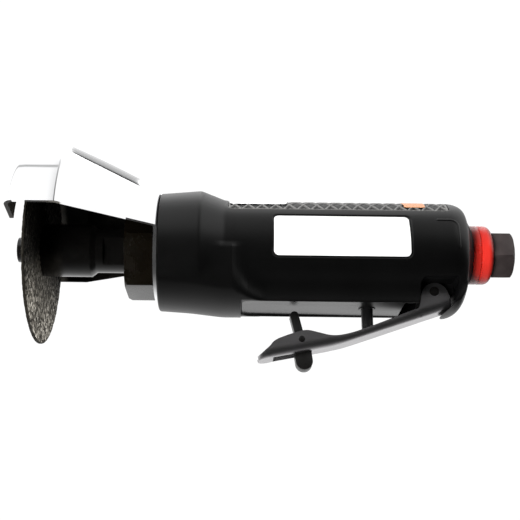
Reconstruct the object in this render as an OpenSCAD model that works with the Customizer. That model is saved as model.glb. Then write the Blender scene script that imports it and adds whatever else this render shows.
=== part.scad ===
// Pneumatic cut off tool
// X runs along the tool axis towards the air inlet, Z points up to the wheel guard,
// and the origin is the centre of the air inlet where its thread begins.

/* [Air inlet] */
// Width across the flats of the inlet hexagon
inlet_af = 17.5; // [16.5:0.1:20]
// Length of the inlet hexagon behind the deflector
inlet_hex_len = 8.3; // [6:0.1:12]
// Minor radius of the inlet thread
inlet_thread_r = 5.72; // [4.6:0.01:5.9]
// Usable depth of the inlet thread
inlet_thread_len = 12; // [8:0.5:15]
// Depth of the lead-in cone ahead of the thread
inlet_lead = 1; // [0.5:0.1:1.5]
// Radius of the journal that carries the deflector
journal_r = 8; // [7.8:0.1:8.5]
// Radius of the shank screwed into the housing
shank_r = 7.5; // [7:0.1:7.7]
// Length of the shank inside the housing
shank_len = 10; // [6:0.5:14]
// Radius of the air passage behind the thread
passage_r = 4; // [3:0.1:4.3]
// Thickness of the strainer at the bottom of the thread
screen_t = 0.8; // [0.5:0.1:1.5]

/* [Exhaust] */
// Outer radius of the deflector ring
deflector_r = 11.75; // [11.2:0.05:12.2]
// Length of the deflector ring
deflector_len = 8.4; // [7:0.1:11]
// Depth of the groove round the deflector
deflector_groove = 0.7; // [0.3:0.1:1]
// Length of the rear cover ahead of the deflector
cover_len = 7; // [6:0.1:10]
// Radius of the rear cover where the deflector meets it
cover_rear_r = 11.8; // [11.8:0.1:13]
// Radius of the rear cover inside the sleeve
cover_r = 16.4; // [15:0.1:17]
// How far the rim of the sleeve stands ahead of the cover
rim_setback = 2.8; // [2:0.1:4]
// Number of exhaust ports in the rear cover
port_count = 10; // [6:1:12]

/* [Grip sleeve] */
// Length of the motor housing
housing_len = 116; // [110:0.5:140]
// Outer radius of the motor housing
housing_r = 18.5; // [18:0.1:19]
// Radius of the sleeve at the waist
waist_r = 20.5; // [20:0.1:21.5]
// Radius of the boot at its front edge
boot_front_r = 23.2; // [22.5:0.1:24]
// Largest radius of the boot
boot_r = 24.5; // [24:0.1:26]
// Length of the boot up to the shoulder
boot_len = 17.3; // [14:0.1:22]
// Length of the shoulder cone
shoulder_len = 8.3; // [5:0.1:12]
// Length of the rounded rear end
dome_len = 7; // [5:0.1:9]
// Half the width of the keel under the grip
keel_half = 11; // [10:0.1:12]
// Depth of the keel flat's front end below the axis
flat_drop = 22.2; // [21.5:0.05:22.6]
// Distance from the boot's front edge to the flat
flat_setback = 31.8; // [28:0.1:36]

/* [Throttle lever] */
// Distance of the lever pin ahead of the housing's rear face
pivot_setback = 8.4; // [8:0.1:10]
// Depth of the lever pin below the axis
pivot_drop = 17.4; // [17:0.1:18]
// Slope of the lever at rest
lever_slope = 19.2; // [17:0.1:22]
// Reach of the lever ahead of its pin
lever_reach = 74; // [70:0.5:80]
// Half the width of the lever
lever_half = 6.5; // [6:0.1:7.5]
// Thickness of the lever sheet
lever_sheet = 1.3; // [1:0.1:1.5]
// Distance from the lever pin to the underside of the lever
lever_drop = 7.8; // [7.4:0.1:8.2]
// Radius of the lever pin
lever_pin_r = 1.85; // [1.5:0.05:2.2]
// Radius of the ears round the lever pin
ear_r = 4.7; // [4.2:0.1:5]

/* [Safety catch] */
// Place of the catch pin along the lever, as a share of its reach
catch_share = 0.7473; // [0.72:0.001:0.77]
// Height of the catch pin above the lever's underside
catch_rise = 6.2; // [5.8:0.1:6.6]
// Lean of the catch towards the wheel
catch_lean = 14; // [10:1:16]
// Gap between the end of the stick and the keel flat
stick_gap = 2.87; // [2.6:0.01:4]
// Width of the stick
stick_w = 3.4; // [2.8:0.1:3.6]
// Length of the tab below the catch pin
tab_len = 11.1; // [9:0.1:11.5]
// Width of the tab
tab_w = 6.6; // [5.5:0.1:7]
// Thickness of the catch across the lever
catch_t = 5.6; // [4.5:0.1:5.8]
// Radius of the catch pin
catch_pin_r = 1.25; // [1:0.05:1.4]

/* [Valve] */
// Distance of the valve ahead of the lever pin
valve_lead = 25.6; // [24:0.1:28]
// Distance of the valve behind the motor bulkhead
valve_setback = 9; // [8:0.1:11]
// Radius of the valve stem
stem_r = 2.3; // [2:0.05:2.6]
// Radius of the valve bore
valve_bore_r = 5; // [4.8:0.1:5.5]
// Height of the valve seat below the axis
seat_drop = 5.2; // [4.8:0.1:6]
// Height of the valve bore's closed end above the axis
valve_top = 12; // [11:0.1:13]

/* [Motor] */
// Radius of the end plates and of the cylinder liner
motor_r = 15.5; // [15.2:0.1:15.7]
// Length of the front end plate
front_plate_len = 12; // [11:0.5:14]
// Bore radius of the cylinder liner
liner_bore_r = 13.2; // [12.8:0.1:13.4]
// Offset of the liner bore from the tool axis
eccentric = 1.2; // [1:0.05:1.3]
// Length of the rear end plate
rear_plate_len = 10; // [9:0.5:12]
// Thickness of the rear gasket
gasket_t = 1; // [0.5:0.1:1.5]
// Number of vanes
vane_count = 5; // [4:1:6]
// Thickness of a vane
vane_t = 1.6; // [1.2:0.1:2]
// Radius of the front rotor shaft
front_shaft_r = 5; // [4.5:0.1:5.5]
// Radius of the rear rotor shaft
rear_shaft_r = 3; // [2.5:0.1:3.5]

/* [Bearings] */
// Outer radius of the front bearing
front_bearing_r = 13; // [12:0.1:13.4]
// Width of the front bearing
front_bearing_w = 8; // [7:0.5:9]
// Number of balls in the front bearing
front_balls = 8; // [6:1:8]
// Outer radius of the rear bearing
rear_bearing_r = 9.5; // [9:0.1:10]
// Width of the rear bearing
rear_bearing_w = 6; // [5:0.5:7]
// Number of balls in the rear bearing
rear_balls = 7; // [6:1:7]

/* [Front end] */
// Width across the flats of the clamp nut
nut_af = 35; // [34:0.5:38]
// Length of the clamp nut's hexagon
nut_len = 11.2; // [9:0.1:14]
// Radius of the clamp nut's threaded spigot
spigot_r = 15.9; // [15.8:0.05:16.4]
// Length of the spigot inside the housing
spigot_len = 8; // [6:0.5:10]
// Distance from the clamp nut to the wheel
nose_len = 33.7; // [30:0.1:40]
// Radius of the spindle neck
neck_r = 8.8; // [8.2:0.1:9.4]
// Width across the spindle's wrench flats
spindle_af = 14; // [13:0.5:15]
// Radius of the spindle hub that backs the wheel
hub_r = 10.5; // [10:0.1:12]
// Length of the spindle hub
hub_len = 19.2; // [16:0.1:22]

/* [Wheel and guard] */
// Gap between the cutting disc's rim and the guard's hood
wheel_gap = 6.1; // [5.6:0.1:13]
// Thickness of the cutting disc
disc_t = 1.3; // [1:0.1:2]
// Bore radius of the cutting disc
disc_bore_r = 4.75; // [4.5:0.05:5]
// Radius of the outer flange washer
flange_r = 9; // [8:0.1:10.5]
// Thickness of the outer flange washer
flange_t = 3; // [2:0.1:3.4]
// Radius of the clamp screw's head
screw_head_r = 5; // [4.8:0.1:6]
// Height of the clamp screw's head
screw_head_h = 6; // [4:0.1:6.5]
// Radius of the clamp screw's shank
screw_r = 3; // [2.5:0.1:3.2]
// Thickness of the guard sheet
guard_sheet = 1.5; // [1:0.1:1.6]
// Outer radius of the guard's clamping ring
guard_ring_r = 20; // [19.5:0.1:21]
// Outer radius of the guard where its cone begins
guard_root_r = 24.8; // [24:0.1:26]
// Outer radius of the guard's hood
guard_r = 43.6; // [42:0.1:46]
// Width of the guard's hood
guard_hood_len = 18.8; // [14:0.1:22]
// How far the hood reaches past the wheel
guard_overhang = 6.5; // [5:0.1:9]
// Depth of the guard's front lip
guard_lip = 14.8; // [10:0.1:16]
// Angle that the guard's hood spans
guard_sweep = 175; // [120:1:180]

/* [Hidden] */

$fn = 96;
full_turn = 360;
quarter = 90;
hex_sides = 6;
arc_steps = 8;

// Clearances
overrun = 1;
running_fit = 0.08;
seat_fit = 0.02;
side_play = 0.05;
clear = 0.3;
wide_clear = 0.5;

// Stations along the axis
x_end = inlet_lead;
x_hex_front = x_end - inlet_hex_len;
x_cover_rear = x_hex_front - deflector_len - 2 * side_play;
x_rim = x_cover_rear - rim_setback;
x_housing_rear = x_cover_rear - cover_len;
x_front = x_housing_rear - housing_len;
x_guard_front = x_front - guard_sheet - 2 * side_play;
x_nut_front = x_guard_front - nut_len;
x_plate_front = x_front + spigot_len;
x_plate_back = x_plate_front + front_plate_len;
x_pivot = x_housing_rear - pivot_setback;
z_pivot = -pivot_drop;
x_valve = x_pivot - valve_lead;
x_bulkhead = x_valve - valve_setback;
x_rear_plate_back = x_bulkhead - gasket_t;
x_liner_back = x_rear_plate_back - rear_plate_len;
liner_len = x_liner_back - x_plate_back;
x_flat = x_front + flat_setback;
x_disc = x_nut_front - nose_len;
x_flange = x_disc - disc_t;
x_screw = x_flange - flange_t;
disc_r = guard_r - wheel_gap;

// Air inlet details
inlet_hex_turn = -12;
inlet_bevel = 1.2;
screen_ledge = 0.5;
screen_seat_r = inlet_thread_r - screen_ledge;
screen_hole_r = 0.6;
screen_pitch = 1.8;
o_ring_r = 0.65;
o_ring_groove = 1.6;

// Exhaust details
deflector_land = 2.9;
deflector_groove_w = 0.9;
deflector_round = 2.6;
chamber_r = 10.6;
chamber_len = 4.6;
deflector_port_r = 1.2;
deflector_port_turns = [-34, 0, 34];
port_r = 0.9;
cover_wall = 2;
felt_r = 12.8;

// Sleeve details
boot_edge = 0.9;
waist_blend_len = 5;
rim_round = 0.5;
keel_lead = 0.5;
keel_front_r = 26.1;
keel_swell = 12.5;
keel_swell_len = 12.3;
keel_rear_r = 25;
keel_round_len = 8.4;
flat_corner = 4;
flat_fall = 0.8;
rail_drop = 23.1;
rail_half = 10;
pocket_top = 13.7;
pocket_front = 6.3;
pocket_depth = 8.6;
pocket_corner = 3;
bay_reach = 12.1;
bay_half = 9;

// Lever details, in shares of the reach and of the drop below the pin
lug_half = 4.6;
lug_r = 3.3;
ear_drop = 1.7;
ear_front_turn = 28;
lever_bend_share = 0.58;
lever_bend_rise = 0.14;
lever_bend_round_share = 0.07;
lever_top_shares = [
    [0.108, -0.53], [0.135, -0.56], [0.45, -0.685], [0.545, -0.62], [0.6, -0.46], [0.655, -0.14],
    [0.7, 0.12], [0.74, 0.2], [0.86, 0.19], [0.895, 0.1], [0.914, -0.02], [0.945, -0.147],
    [0.973, -0.237]
];
lever_tip_share = 0.985;
lever_nose_r = 7;
lever_steps = 4;
lever_heel_round = 1.6;
slot_half = 3.4;
slot_ahead = 12.41;
slot_behind = 3.8;

// Catch details
catch_reach = catch_share * lever_reach;
z_catch = z_pivot - catch_reach * sin(lever_slope) - (lever_drop - catch_rise) * cos(lever_slope);
stick_len = (-flat_drop - z_catch - stick_gap) / cos(catch_lean);
catch_hub_r = 2.7;
tab_turn = 6;
catch_wire_r = 0.25;
catch_coil_pitch = 0.95;
catch_coil_turns = 1.5;

// Valve details
poppet_r = 4.4;
poppet_t = 2.6;
poppet_ring_r = 0.5;
bush_neck_r = 3.25;
bush_lip = 0.6;
bush_foot_drop = 17.4;
bush_chamber_r = 3.6;
bush_guide_len = 8;
feed_r = 2.4;
feed_drop = 12.3;
valve_wire_r = 0.45;
valve_coil_r = 3.4;
valve_coil_turns = 6;
rings_per_turn = 8;
coil_sides = 6;
catch_coil_r = (catch_pin_r + catch_wire_r + side_play) / cos(full_turn / rings_per_turn / 2);

// Motor details
rotor_r = liner_bore_r - eccentric - clear;
vane_depth = 5.8;
vane_gap = 0.05;
nose_end_setback = 17.8;
liner_pin_r = 0.9;
liner_pin_drop = 13.75;
liner_pin_len = 7;
liner_pin_seat = 3;
liner_slots = 5;
liner_slot_r = 1.2;

// Bearing details
race_share = 0.26;
ball_share = 0.25;
cage_share = 0.16;
ball_gap = 0.12;

// Front end details
nut_bevel = 1.3;
nut_rear_bevel = 0.8;
nut_turn = 30;
nut_lip = 7.6;
nut_cavity_r = 12;
neck_in = 5.6;
hub_taper = 2.2;
flats_start = 2.9;
flats_len = 9;
flats_turn = 20;
spindle_bore_len = 24;
spacer_r = 7;
seal_t = 3;
pilot_gap = 0.15;
socket_af = 5;
socket_depth = 3;
screw_len = 12;
flange_bevel = 0.8;
guard_lip_curl = 0.3;
guard_lean = -1.9;

// Points along an arc, from angle a to angle b, with separate radii across and along
function arc(centre, radii, a, b) =
    [for (i = [0:arc_steps]) let (t = a + (b - a) * i / arc_steps)
        centre + [radii.x * cos(t), radii.y * sin(t)]];

// One point of a smooth curve through four neighbouring points
function curve_point(p, q, r, s, t) =
    (2 * q + (r - p) * t + (2 * p - 5 * q + 4 * r - s) * t * t + (3 * q - p - 3 * r + s) * t * t * t) / 2;

// A smooth curve through all the given points
function smooth(points) = let (last = len(points) - 1) [
    for (i = [0:last - 1]) for (k = [0:lever_steps - 1])
        curve_point(points[max(i - 1, 0)], points[i], points[i + 1], points[min(i + 2, last)],
            k / lever_steps),
    points[last]
];

// Solid of revolution about the tool axis from [radius, x] points
module revolve(points)
    rotate([0, quarter, 0]) rotate_extrude() polygon(points);

// Tube along the tool axis
module tube(outer, inner, x0, x1)
    revolve([[inner, x0], [outer, x0], [outer, x1], [inner, x1]]);

// Rod along the tool axis
module rod(r, x0, x1)
    translate([x0, 0, 0]) rotate([0, quarter, 0]) cylinder(r = r, h = x1 - x0);

// Hexagonal bar along the tool axis
module hex_bar(af, x0, x1, turn)
    translate([x0, 0, 0]) rotate([turn, 0, 0]) rotate([0, quarter, 0])
        cylinder(d = af / cos(full_turn / hex_sides / 2), h = x1 - x0, $fn = hex_sides);

// Rod across the tool
module cross_rod(r, length)
    rotate([quarter, 0, 0]) cylinder(r = r, h = length, center = true);

// Extrudes a side view, drawn in X and Z, to a width across the tool
module side_extrude(width)
    rotate([quarter, 0, 0]) linear_extrude(width, center = true) children();

// Frame of the lever: first axis forward along its floor, second axis up from the floor
module lever_frame()
    translate([x_pivot, 0, z_pivot]) rotate([0, -lever_slope, 0]) rotate([0, 0, 2 * quarter])
        rotate([quarter, 0, 0]) children();

// Frame of the catch: centred on its pin, second axis along its stick
module catch_frame()
    lever_frame() translate([catch_reach, catch_rise - lever_drop, 0])
        rotate([0, 0, lever_slope - catch_lean]) children();

// Centre line of a coil that climbs along Z
function coil_angle(i) = full_turn * i / rings_per_turn;
function coil_centre(i, rings, mean_r, climb) =
    [mean_r * cos(coil_angle(i)), mean_r * sin(coil_angle(i)), climb * i / rings];
function coil_gap(turns, mean_r, wire_r, climb) = let (rings = turns * rings_per_turn)
    min([for (i = [0:rings - rings_per_turn]) for (k = [i + rings_per_turn / 2 + 1:rings])
        norm(coil_centre(k, rings, mean_r, climb) - coil_centre(i, rings, mean_r, climb))]) - 2 * wire_r;

// A spring as one unbroken tube
module coil(turns, mean_r, wire_r, climb) {
    rings = turns * rings_per_turn;
    points = [for (i = [0:rings]) for (k = [0:coil_sides - 1])
        let (a = coil_angle(i), b = full_turn * k / coil_sides)
        coil_centre(i, rings, mean_r, climb) + wire_r * [cos(b) * cos(a), cos(b) * sin(a), sin(b)]];
    walls = [for (i = [0:rings - 1]) for (k = [0:coil_sides - 1])
        let (p = i * coil_sides + k, q = i * coil_sides + (k + 1) % coil_sides)
        each [[p, q, p + coil_sides], [q, q + coil_sides, p + coil_sides]]];
    first = [for (k = [1:coil_sides - 2]) [0, k + 1, k]];
    base = rings * coil_sides;
    last = [for (k = [1:coil_sides - 2]) [base, base + k, base + k + 1]];
    polyhedron(points, concat(walls, first, last));
}

// A ball bearing between two radii, starting at x0, in four separate pieces
function race_t(outer, inner) = (outer - inner) * race_share;
function ball_r(outer, inner) = (outer - inner) * ball_share;
function pitch_r(outer, inner) = (outer + inner) / 2;

module groove_ring(outer, inner, x)
    translate([x, 0, 0]) rotate([0, quarter, 0]) rotate_extrude()
        translate([pitch_r(outer, inner), 0]) circle(r = ball_r(outer, inner) + ball_gap);

module bearing_outer(outer, inner, x0, width)
    difference() {
        tube(outer, outer - race_t(outer, inner), x0, x0 + width);
        groove_ring(outer, inner, x0 + width / 2);
    }

module bearing_inner(outer, inner, x0, width)
    difference() {
        tube(inner + race_t(outer, inner), inner, x0, x0 + width);
        groove_ring(outer, inner, x0 + width / 2);
    }

module bearing_balls(outer, inner, x0, width, count)
    for (i = [0:count - 1]) rotate([full_turn * i / count, 0, 0])
        translate([x0 + width / 2, 0, pitch_r(outer, inner)]) sphere(r = ball_r(outer, inner));

module bearing_cage(outer, inner, x0, width, count) {
    half = (outer - inner) * cage_share;
    difference() {
        tube(pitch_r(outer, inner) + half, pitch_r(outer, inner) - half,
            x0 + width / 2 - ball_r(outer, inner), x0 + width / 2 + ball_r(outer, inner) / 2);
        for (i = [0:count - 1]) rotate([full_turn * i / count, 0, 0])
            translate([x0 + width / 2, 0, pitch_r(outer, inner)])
                sphere(r = ball_r(outer, inner) + ball_gap);
    }
}

module cutting_disc()
    color("dimgray") tube(disc_r, disc_bore_r, x_flange, x_disc);

module outer_flange()
    color("#1c1c1e") revolve([
        [screw_r + seat_fit, x_screw], [flange_r - flange_bevel, x_screw],
        [flange_r, x_screw + flange_bevel], [flange_r, x_flange], [screw_r + seat_fit, x_flange]
    ]);

module clamp_screw()
    color("#1c1c1e") difference() {
        union() {
            rod(screw_head_r, x_screw - screw_head_h, x_screw);
            rod(screw_r, x_screw - overrun, x_disc + screw_len);
        }
        hex_bar(socket_af, x_screw - screw_head_h - overrun, x_screw - screw_head_h + socket_depth, 0);
    }

module spindle() {
    x_hub = x_disc + hub_len;
    x_neck = x_hub + hub_taper;
    x_back = x_nut_front + neck_in;
    color("#1c1c1e") difference() {
        revolve([
            [0, x_flange + pilot_gap], [disc_bore_r - pilot_gap, x_flange + pilot_gap],
            [disc_bore_r - pilot_gap, x_disc], [hub_r, x_disc], [hub_r, x_hub], [neck_r, x_neck],
            [neck_r, x_back], [0, x_back]
        ]);
        for (side = [0, 2 * quarter]) rotate([flats_turn + side, 0, 0])
            translate([x_neck + flats_start, spindle_af / 2, -hub_r]) cube([flats_len, hub_r, 2 * hub_r]);
        rod(front_shaft_r + seat_fit, x_back - spindle_bore_len, x_back + overrun);
        rod(screw_r + seat_fit, x_flange - overrun, x_disc + screw_len + seat_fit);
    }
}

module front_spacer()
    color("silver") tube(spacer_r, front_shaft_r + seat_fit, x_nut_front + neck_in, x_plate_front);

module clamp_nut() {
    corner_r = nut_af / 2 / cos(full_turn / hex_sides / 2);
    color("#26241f") difference() {
        union() {
            intersection() {
                hex_bar(nut_af, x_nut_front, x_guard_front, nut_turn);
                revolve([
                    [0, x_nut_front], [corner_r - nut_bevel, x_nut_front],
                    [corner_r + seat_fit, x_nut_front + nut_bevel],
                    [corner_r + seat_fit, x_guard_front - nut_rear_bevel / 2],
                    [corner_r - nut_rear_bevel, x_guard_front], [0, x_guard_front]
                ]);
            }
            rod(spigot_r, x_guard_front - overrun, x_plate_front);
        }
        rod(neck_r + wide_clear, x_nut_front - overrun, x_nut_front + nut_lip + overrun);
        rod(nut_cavity_r, x_nut_front + nut_lip, x_plate_front + overrun);
    }
}

module front_seal() {
    x0 = x_nut_front + nut_lip;
    color("#4a4438") tube(nut_cavity_r - seat_fit, spacer_r + clear, x0, x0 + seal_t);
}

module wheel_guard() {
    x_rear = x_front - side_play;
    x_ring = x_rear - guard_sheet;
    x_lip = x_flange - guard_overhang;
    x_hood = x_lip + guard_hood_len;
    cone_skin = guard_sheet * norm([guard_r - guard_root_r, x_ring - x_hood]) / (x_ring - x_hood);
    bore = spigot_r + clear;
    lip_inner = guard_r - guard_lip;
    color("gainsboro") difference() {
        revolve([
            [bore, x_rear], [guard_root_r, x_rear], [guard_root_r, x_ring],
            [guard_r, x_hood], [guard_r, x_lip],
            [lip_inner, x_lip - guard_lip_curl], [lip_inner, x_lip - guard_lip_curl + guard_sheet],
            [guard_r - guard_sheet, x_lip + guard_sheet], [guard_r - guard_sheet, x_hood],
            [guard_root_r - cone_skin, x_ring], [bore, x_ring]
        ]);
        difference() {
            for (side = [-1, 1]) rotate([guard_lean + side * (quarter - guard_sweep / 2), 0, 0])
                translate([x_lip - 2 * guard_lip_curl, -2 * guard_r, -2 * guard_r])
                    cube([x_rear - x_lip + 4 * guard_lip_curl, 4 * guard_r, 2 * guard_r]);
            rod(guard_ring_r, x_lip - 4 * guard_lip_curl, x_rear + 4 * guard_lip_curl);
        }
    }
}

module front_end_plate()
    color("lightgray") difference() {
        rod(motor_r, x_plate_front, x_plate_back);
        rod(front_bearing_r + seat_fit, x_plate_front - overrun, x_plate_front + front_bearing_w);
        rod(front_shaft_r + wide_clear, x_plate_front, x_plate_back + overrun);
        liner_pin_hole();
    }

module front_bearing_outer()
    color("lightsteelblue") bearing_outer(front_bearing_r, front_shaft_r, x_plate_front, front_bearing_w);

module front_bearing_inner()
    color("lightsteelblue")
        bearing_inner(front_bearing_r, front_shaft_r + seat_fit, x_plate_front, front_bearing_w);

module front_bearing_balls()
    color("white")
        bearing_balls(front_bearing_r, front_shaft_r, x_plate_front, front_bearing_w, front_balls);

module front_bearing_cage()
    color("goldenrod")
        bearing_cage(front_bearing_r, front_shaft_r, x_plate_front, front_bearing_w, front_balls);

module vane_row(thickness, inner, outer, x0, x1)
    for (i = [0:vane_count - 1]) rotate([full_turn * i / vane_count, 0, 0])
        translate([x0, -thickness / 2, inner]) cube([x1 - x0, thickness, outer - inner]);

module rotor() {
    x0 = x_plate_back + clear;
    x1 = x_liner_back - clear;
    color("slategray") difference() {
        union() {
            rod(rotor_r, x0, x1);
            rod(front_shaft_r, x_nut_front - nose_end_setback, x0 + overrun);
            rod(rear_shaft_r, x1 - overrun, x_rear_plate_back - wide_clear);
        }
        vane_row(vane_t + 2 * vane_gap, rotor_r - vane_depth - clear, rotor_r + overrun,
            x0 - overrun, x1 + overrun);
    }
}

module rotor_vanes()
    color("saddlebrown")
        vane_row(vane_t, rotor_r - vane_depth, rotor_r - side_play,
            x_plate_back + clear, x_liner_back - clear);

module liner_pin_hole()
    translate([x_plate_back - liner_pin_seat, 0, -liner_pin_drop]) rotate([0, quarter, 0])
        cylinder(r = liner_pin_r + seat_fit, h = liner_pin_len);

module cylinder_liner()
    color("gray") difference() {
        rod(motor_r, x_plate_back, x_liner_back);
        translate([0, 0, eccentric]) rod(liner_bore_r, x_plate_back - overrun, x_liner_back + overrun);
        liner_pin_hole();
        for (i = [1:liner_slots])
            translate([x_plate_back + liner_len * i / (liner_slots + 1), motor_r, 0])
                cross_rod(liner_slot_r, motor_r);
    }

module liner_pin()
    color("silver") translate([x_plate_back - liner_pin_seat, 0, -liner_pin_drop]) rotate([0, quarter, 0])
        cylinder(r = liner_pin_r, h = liner_pin_len);

module feed_bore(x0, x1)
    translate([0, 0, -feed_drop]) rod(feed_r, x0, x1);

module rear_end_plate()
    color("lightgray") difference() {
        rod(motor_r, x_liner_back, x_rear_plate_back);
        rod(rear_bearing_r + seat_fit, x_rear_plate_back - rear_bearing_w, x_rear_plate_back + overrun);
        rod(rear_shaft_r + wide_clear, x_liner_back - overrun, x_rear_plate_back);
        feed_bore(x_liner_back - overrun, x_rear_plate_back + overrun);
    }

module rear_bearing_outer()
    color("lightsteelblue")
        bearing_outer(rear_bearing_r, rear_shaft_r, x_rear_plate_back - rear_bearing_w, rear_bearing_w);

module rear_bearing_inner()
    color("lightsteelblue") bearing_inner(rear_bearing_r, rear_shaft_r + seat_fit,
        x_rear_plate_back - rear_bearing_w, rear_bearing_w);

module rear_bearing_balls()
    color("white") bearing_balls(rear_bearing_r, rear_shaft_r,
        x_rear_plate_back - rear_bearing_w, rear_bearing_w, rear_balls);

module rear_bearing_cage()
    color("goldenrod") bearing_cage(rear_bearing_r, rear_shaft_r,
        x_rear_plate_back - rear_bearing_w, rear_bearing_w, rear_balls);

module rear_gasket()
    color("darkkhaki") difference() {
        tube(motor_r, rear_bearing_r - clear, x_rear_plate_back, x_bulkhead);
        feed_bore(x_rear_plate_back - overrun, x_bulkhead + overrun);
    }

// Side view of the pocket that the lever's ears turn in
module pocket_view() {
    top = -pocket_top;
    x_wall = x_pivot - pocket_front;
    polygon(concat(
        [[x_pivot, top]],
        arc([x_wall + pocket_corner, top - pocket_corner], pocket_corner * [1, 1], quarter, 2 * quarter),
        [[x_wall, -2 * flat_drop], [x_pivot, -2 * flat_drop]]));
    intersection() {
        translate([x_pivot, z_pivot]) circle(r = pocket_depth);
        translate([x_pivot - pocket_depth, top - 2 * pocket_depth]) square(2 * pocket_depth);
    }
}

module motor_housing()
    color("#202022") difference() {
        union() {
            difference() {
                rod(housing_r, x_front, x_housing_rear);
                side_extrude(2 * keel_half + 2 * housing_r) pocket_view();
            }
            intersection() {
                side_extrude(2 * lug_half) pocket_view();
                translate([x_pivot, 0, 0]) union() {
                    rod(housing_r - clear, -pocket_depth + clear, pocket_setback());
                    translate([0, 0, z_pivot]) cross_rod(lug_r, 2 * lug_half);
                }
            }
        }
        rod(spigot_r + side_play, x_front - overrun, x_plate_front);
        rod(motor_r + side_play, x_plate_front - overrun, x_bulkhead);
        feed_bore(x_bulkhead - overrun, x_valve);
        translate([x_valve, 0, -housing_r]) cylinder(r = valve_bore_r, h = housing_r + valve_top);
        rod(passage_r, x_valve, x_housing_rear + overrun);
        rod(shank_r + seat_fit, x_housing_rear - shank_len, x_housing_rear + overrun);
        rod(shank_r + 2 * (o_ring_r + side_play), x_housing_rear - o_ring_groove, x_housing_rear + overrun);
        translate([x_pivot, 0, z_pivot]) cross_rod(lever_pin_r + seat_fit, 4 * lug_half);
    }

// How far the lug reaches behind the lever pin
function pocket_setback() = pivot_setback - wide_clear;

// Profile of the round part of the sleeve, from the boot to the rear rim
function waist_profile() = concat(
    arc([boot_front_r - boot_edge, x_front + boot_edge], boot_edge * [1, 1], -quarter, 0),
    [
        [boot_r, x_front + boot_len - boot_edge], [boot_r - boot_edge / 2, x_front + boot_len],
        [waist_r + boot_edge / 2, x_front + boot_len + shoulder_len],
        [waist_r, x_front + boot_len + shoulder_len + waist_blend_len]
    ],
    arc([cover_r + rim_round, x_rim - dome_len], [waist_r - cover_r - rim_round, dome_len], 0, quarter),
    [[0, x_rim], [0, x_front]]);

// Profile that the keel keeps under the grip
function keel_profile() = concat(
    arc([boot_front_r + keel_lead - boot_edge, x_front + boot_edge], boot_edge * [1, 1], -quarter, 0),
    [[boot_r, x_front + keel_swell], [keel_front_r, x_front + keel_swell + keel_swell_len]],
    arc([cover_r + rim_round, x_rim - keel_round_len],
        [keel_rear_r - cover_r - rim_round, keel_round_len], 0, quarter),
    [[0, x_rim], [0, x_front]]);

// Height of the keel flat, which falls a little towards the lever pin
function flat_at(x) = -flat_drop - flat_fall * (x - x_flat) / (x_pivot - x_flat);

// Plan of the keel flat, round at its front corners
module flat_plan() {
    end_half = rail_half - flat_corner;
    translate([x_flat + flat_corner, -rail_half]) square([x_pivot - x_flat - flat_corner, 2 * rail_half]);
    translate([x_flat, -end_half]) square([flat_corner + overrun, 2 * end_half]);
    for (side = [-1, 1]) translate([x_flat + flat_corner, side * end_half]) circle(r = flat_corner);
}

// The flat under the keel, sunk between two low rails
module flat_cut() {
    intersection() {
        translate([0, 0, -2 * flat_drop]) linear_extrude(2 * flat_drop) flat_plan();
        side_extrude(4 * rail_half) polygon([
            [x_flat - overrun, -2 * flat_drop], [x_pivot + overrun, -2 * flat_drop],
            [x_pivot + overrun, flat_at(x_pivot + overrun)], [x_flat - overrun, flat_at(x_flat - overrun)]
        ]);
    }
    translate([x_flat, -2 * keel_half, -2 * rail_drop])
        cube([x_pivot - x_flat, 4 * keel_half, rail_drop]);
}

// Room between the keel's cheeks for the rear of the lever
module lever_bay()
    translate([x_pivot - bay_reach, -bay_half, -2 * rail_drop])
        cube([bay_reach, 2 * bay_half, 2 * rail_drop]);

module grip_sleeve()
    color("#18181a") difference() {
        union() {
            revolve(waist_profile());
            intersection() {
                revolve(keel_profile());
                translate([x_front, -keel_half, -2 * boot_r])
                    cube([x_rim - x_front, 2 * keel_half, 2 * boot_r]);
            }
        }
        flat_cut();
        side_extrude(4 * keel_half) pocket_view();
        lever_bay();
        rod(housing_r, x_front - overrun, x_housing_rear);
        rod(cover_r + side_play, x_housing_rear - overrun, x_rim + overrun);
        translate([x_valve, 0, -2 * flat_drop]) cylinder(r = bush_neck_r + side_play, h = 2 * flat_drop);
    }

module rear_cover()
    color("#141415") difference() {
        revolve([
            [journal_r + clear, x_cover_rear], [cover_rear_r, x_cover_rear], [cover_r, x_rim],
            [cover_r, x_housing_rear], [journal_r + clear, x_housing_rear]
        ]);
        rod(felt_r, x_housing_rear - overrun, x_cover_rear - cover_wall);
        for (i = [0:port_count - 1]) rotate([full_turn * i / port_count, 0, 0])
            translate([x_cover_rear - cover_wall - overrun, 0, (chamber_r + journal_r) / 2 + port_r])
                rotate([0, quarter, 0]) cylinder(r = port_r, h = cover_wall + 2 * overrun);
    }

module silencer_felt()
    color("#8d8878")
        tube(felt_r - seat_fit, journal_r + clear, x_housing_rear, x_cover_rear - cover_wall - seat_fit);

// Height of the lever's underside along its reach, with a round bend behind the catch
bend_half = lever_bend_round_share * lever_reach;
bend_start = lever_bend_share * lever_reach - bend_half;
function bend_lift(past) = past <= 0 ? 0 : past < 2 * bend_half
    ? lever_bend_rise * past * past / (4 * bend_half) : lever_bend_rise * (past - bend_half);
function floor_at(u) = bend_lift(u - bend_start) - lever_drop;

// Stations where the underside of the lever is drawn
function floor_stations() =
    concat([for (i = [0:arc_steps]) bend_start + 2 * bend_half * i / arc_steps], [lever_reach]);

function floor_line(lift) = [for (u = floor_stations()) [u, floor_at(u) + lift]];

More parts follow.
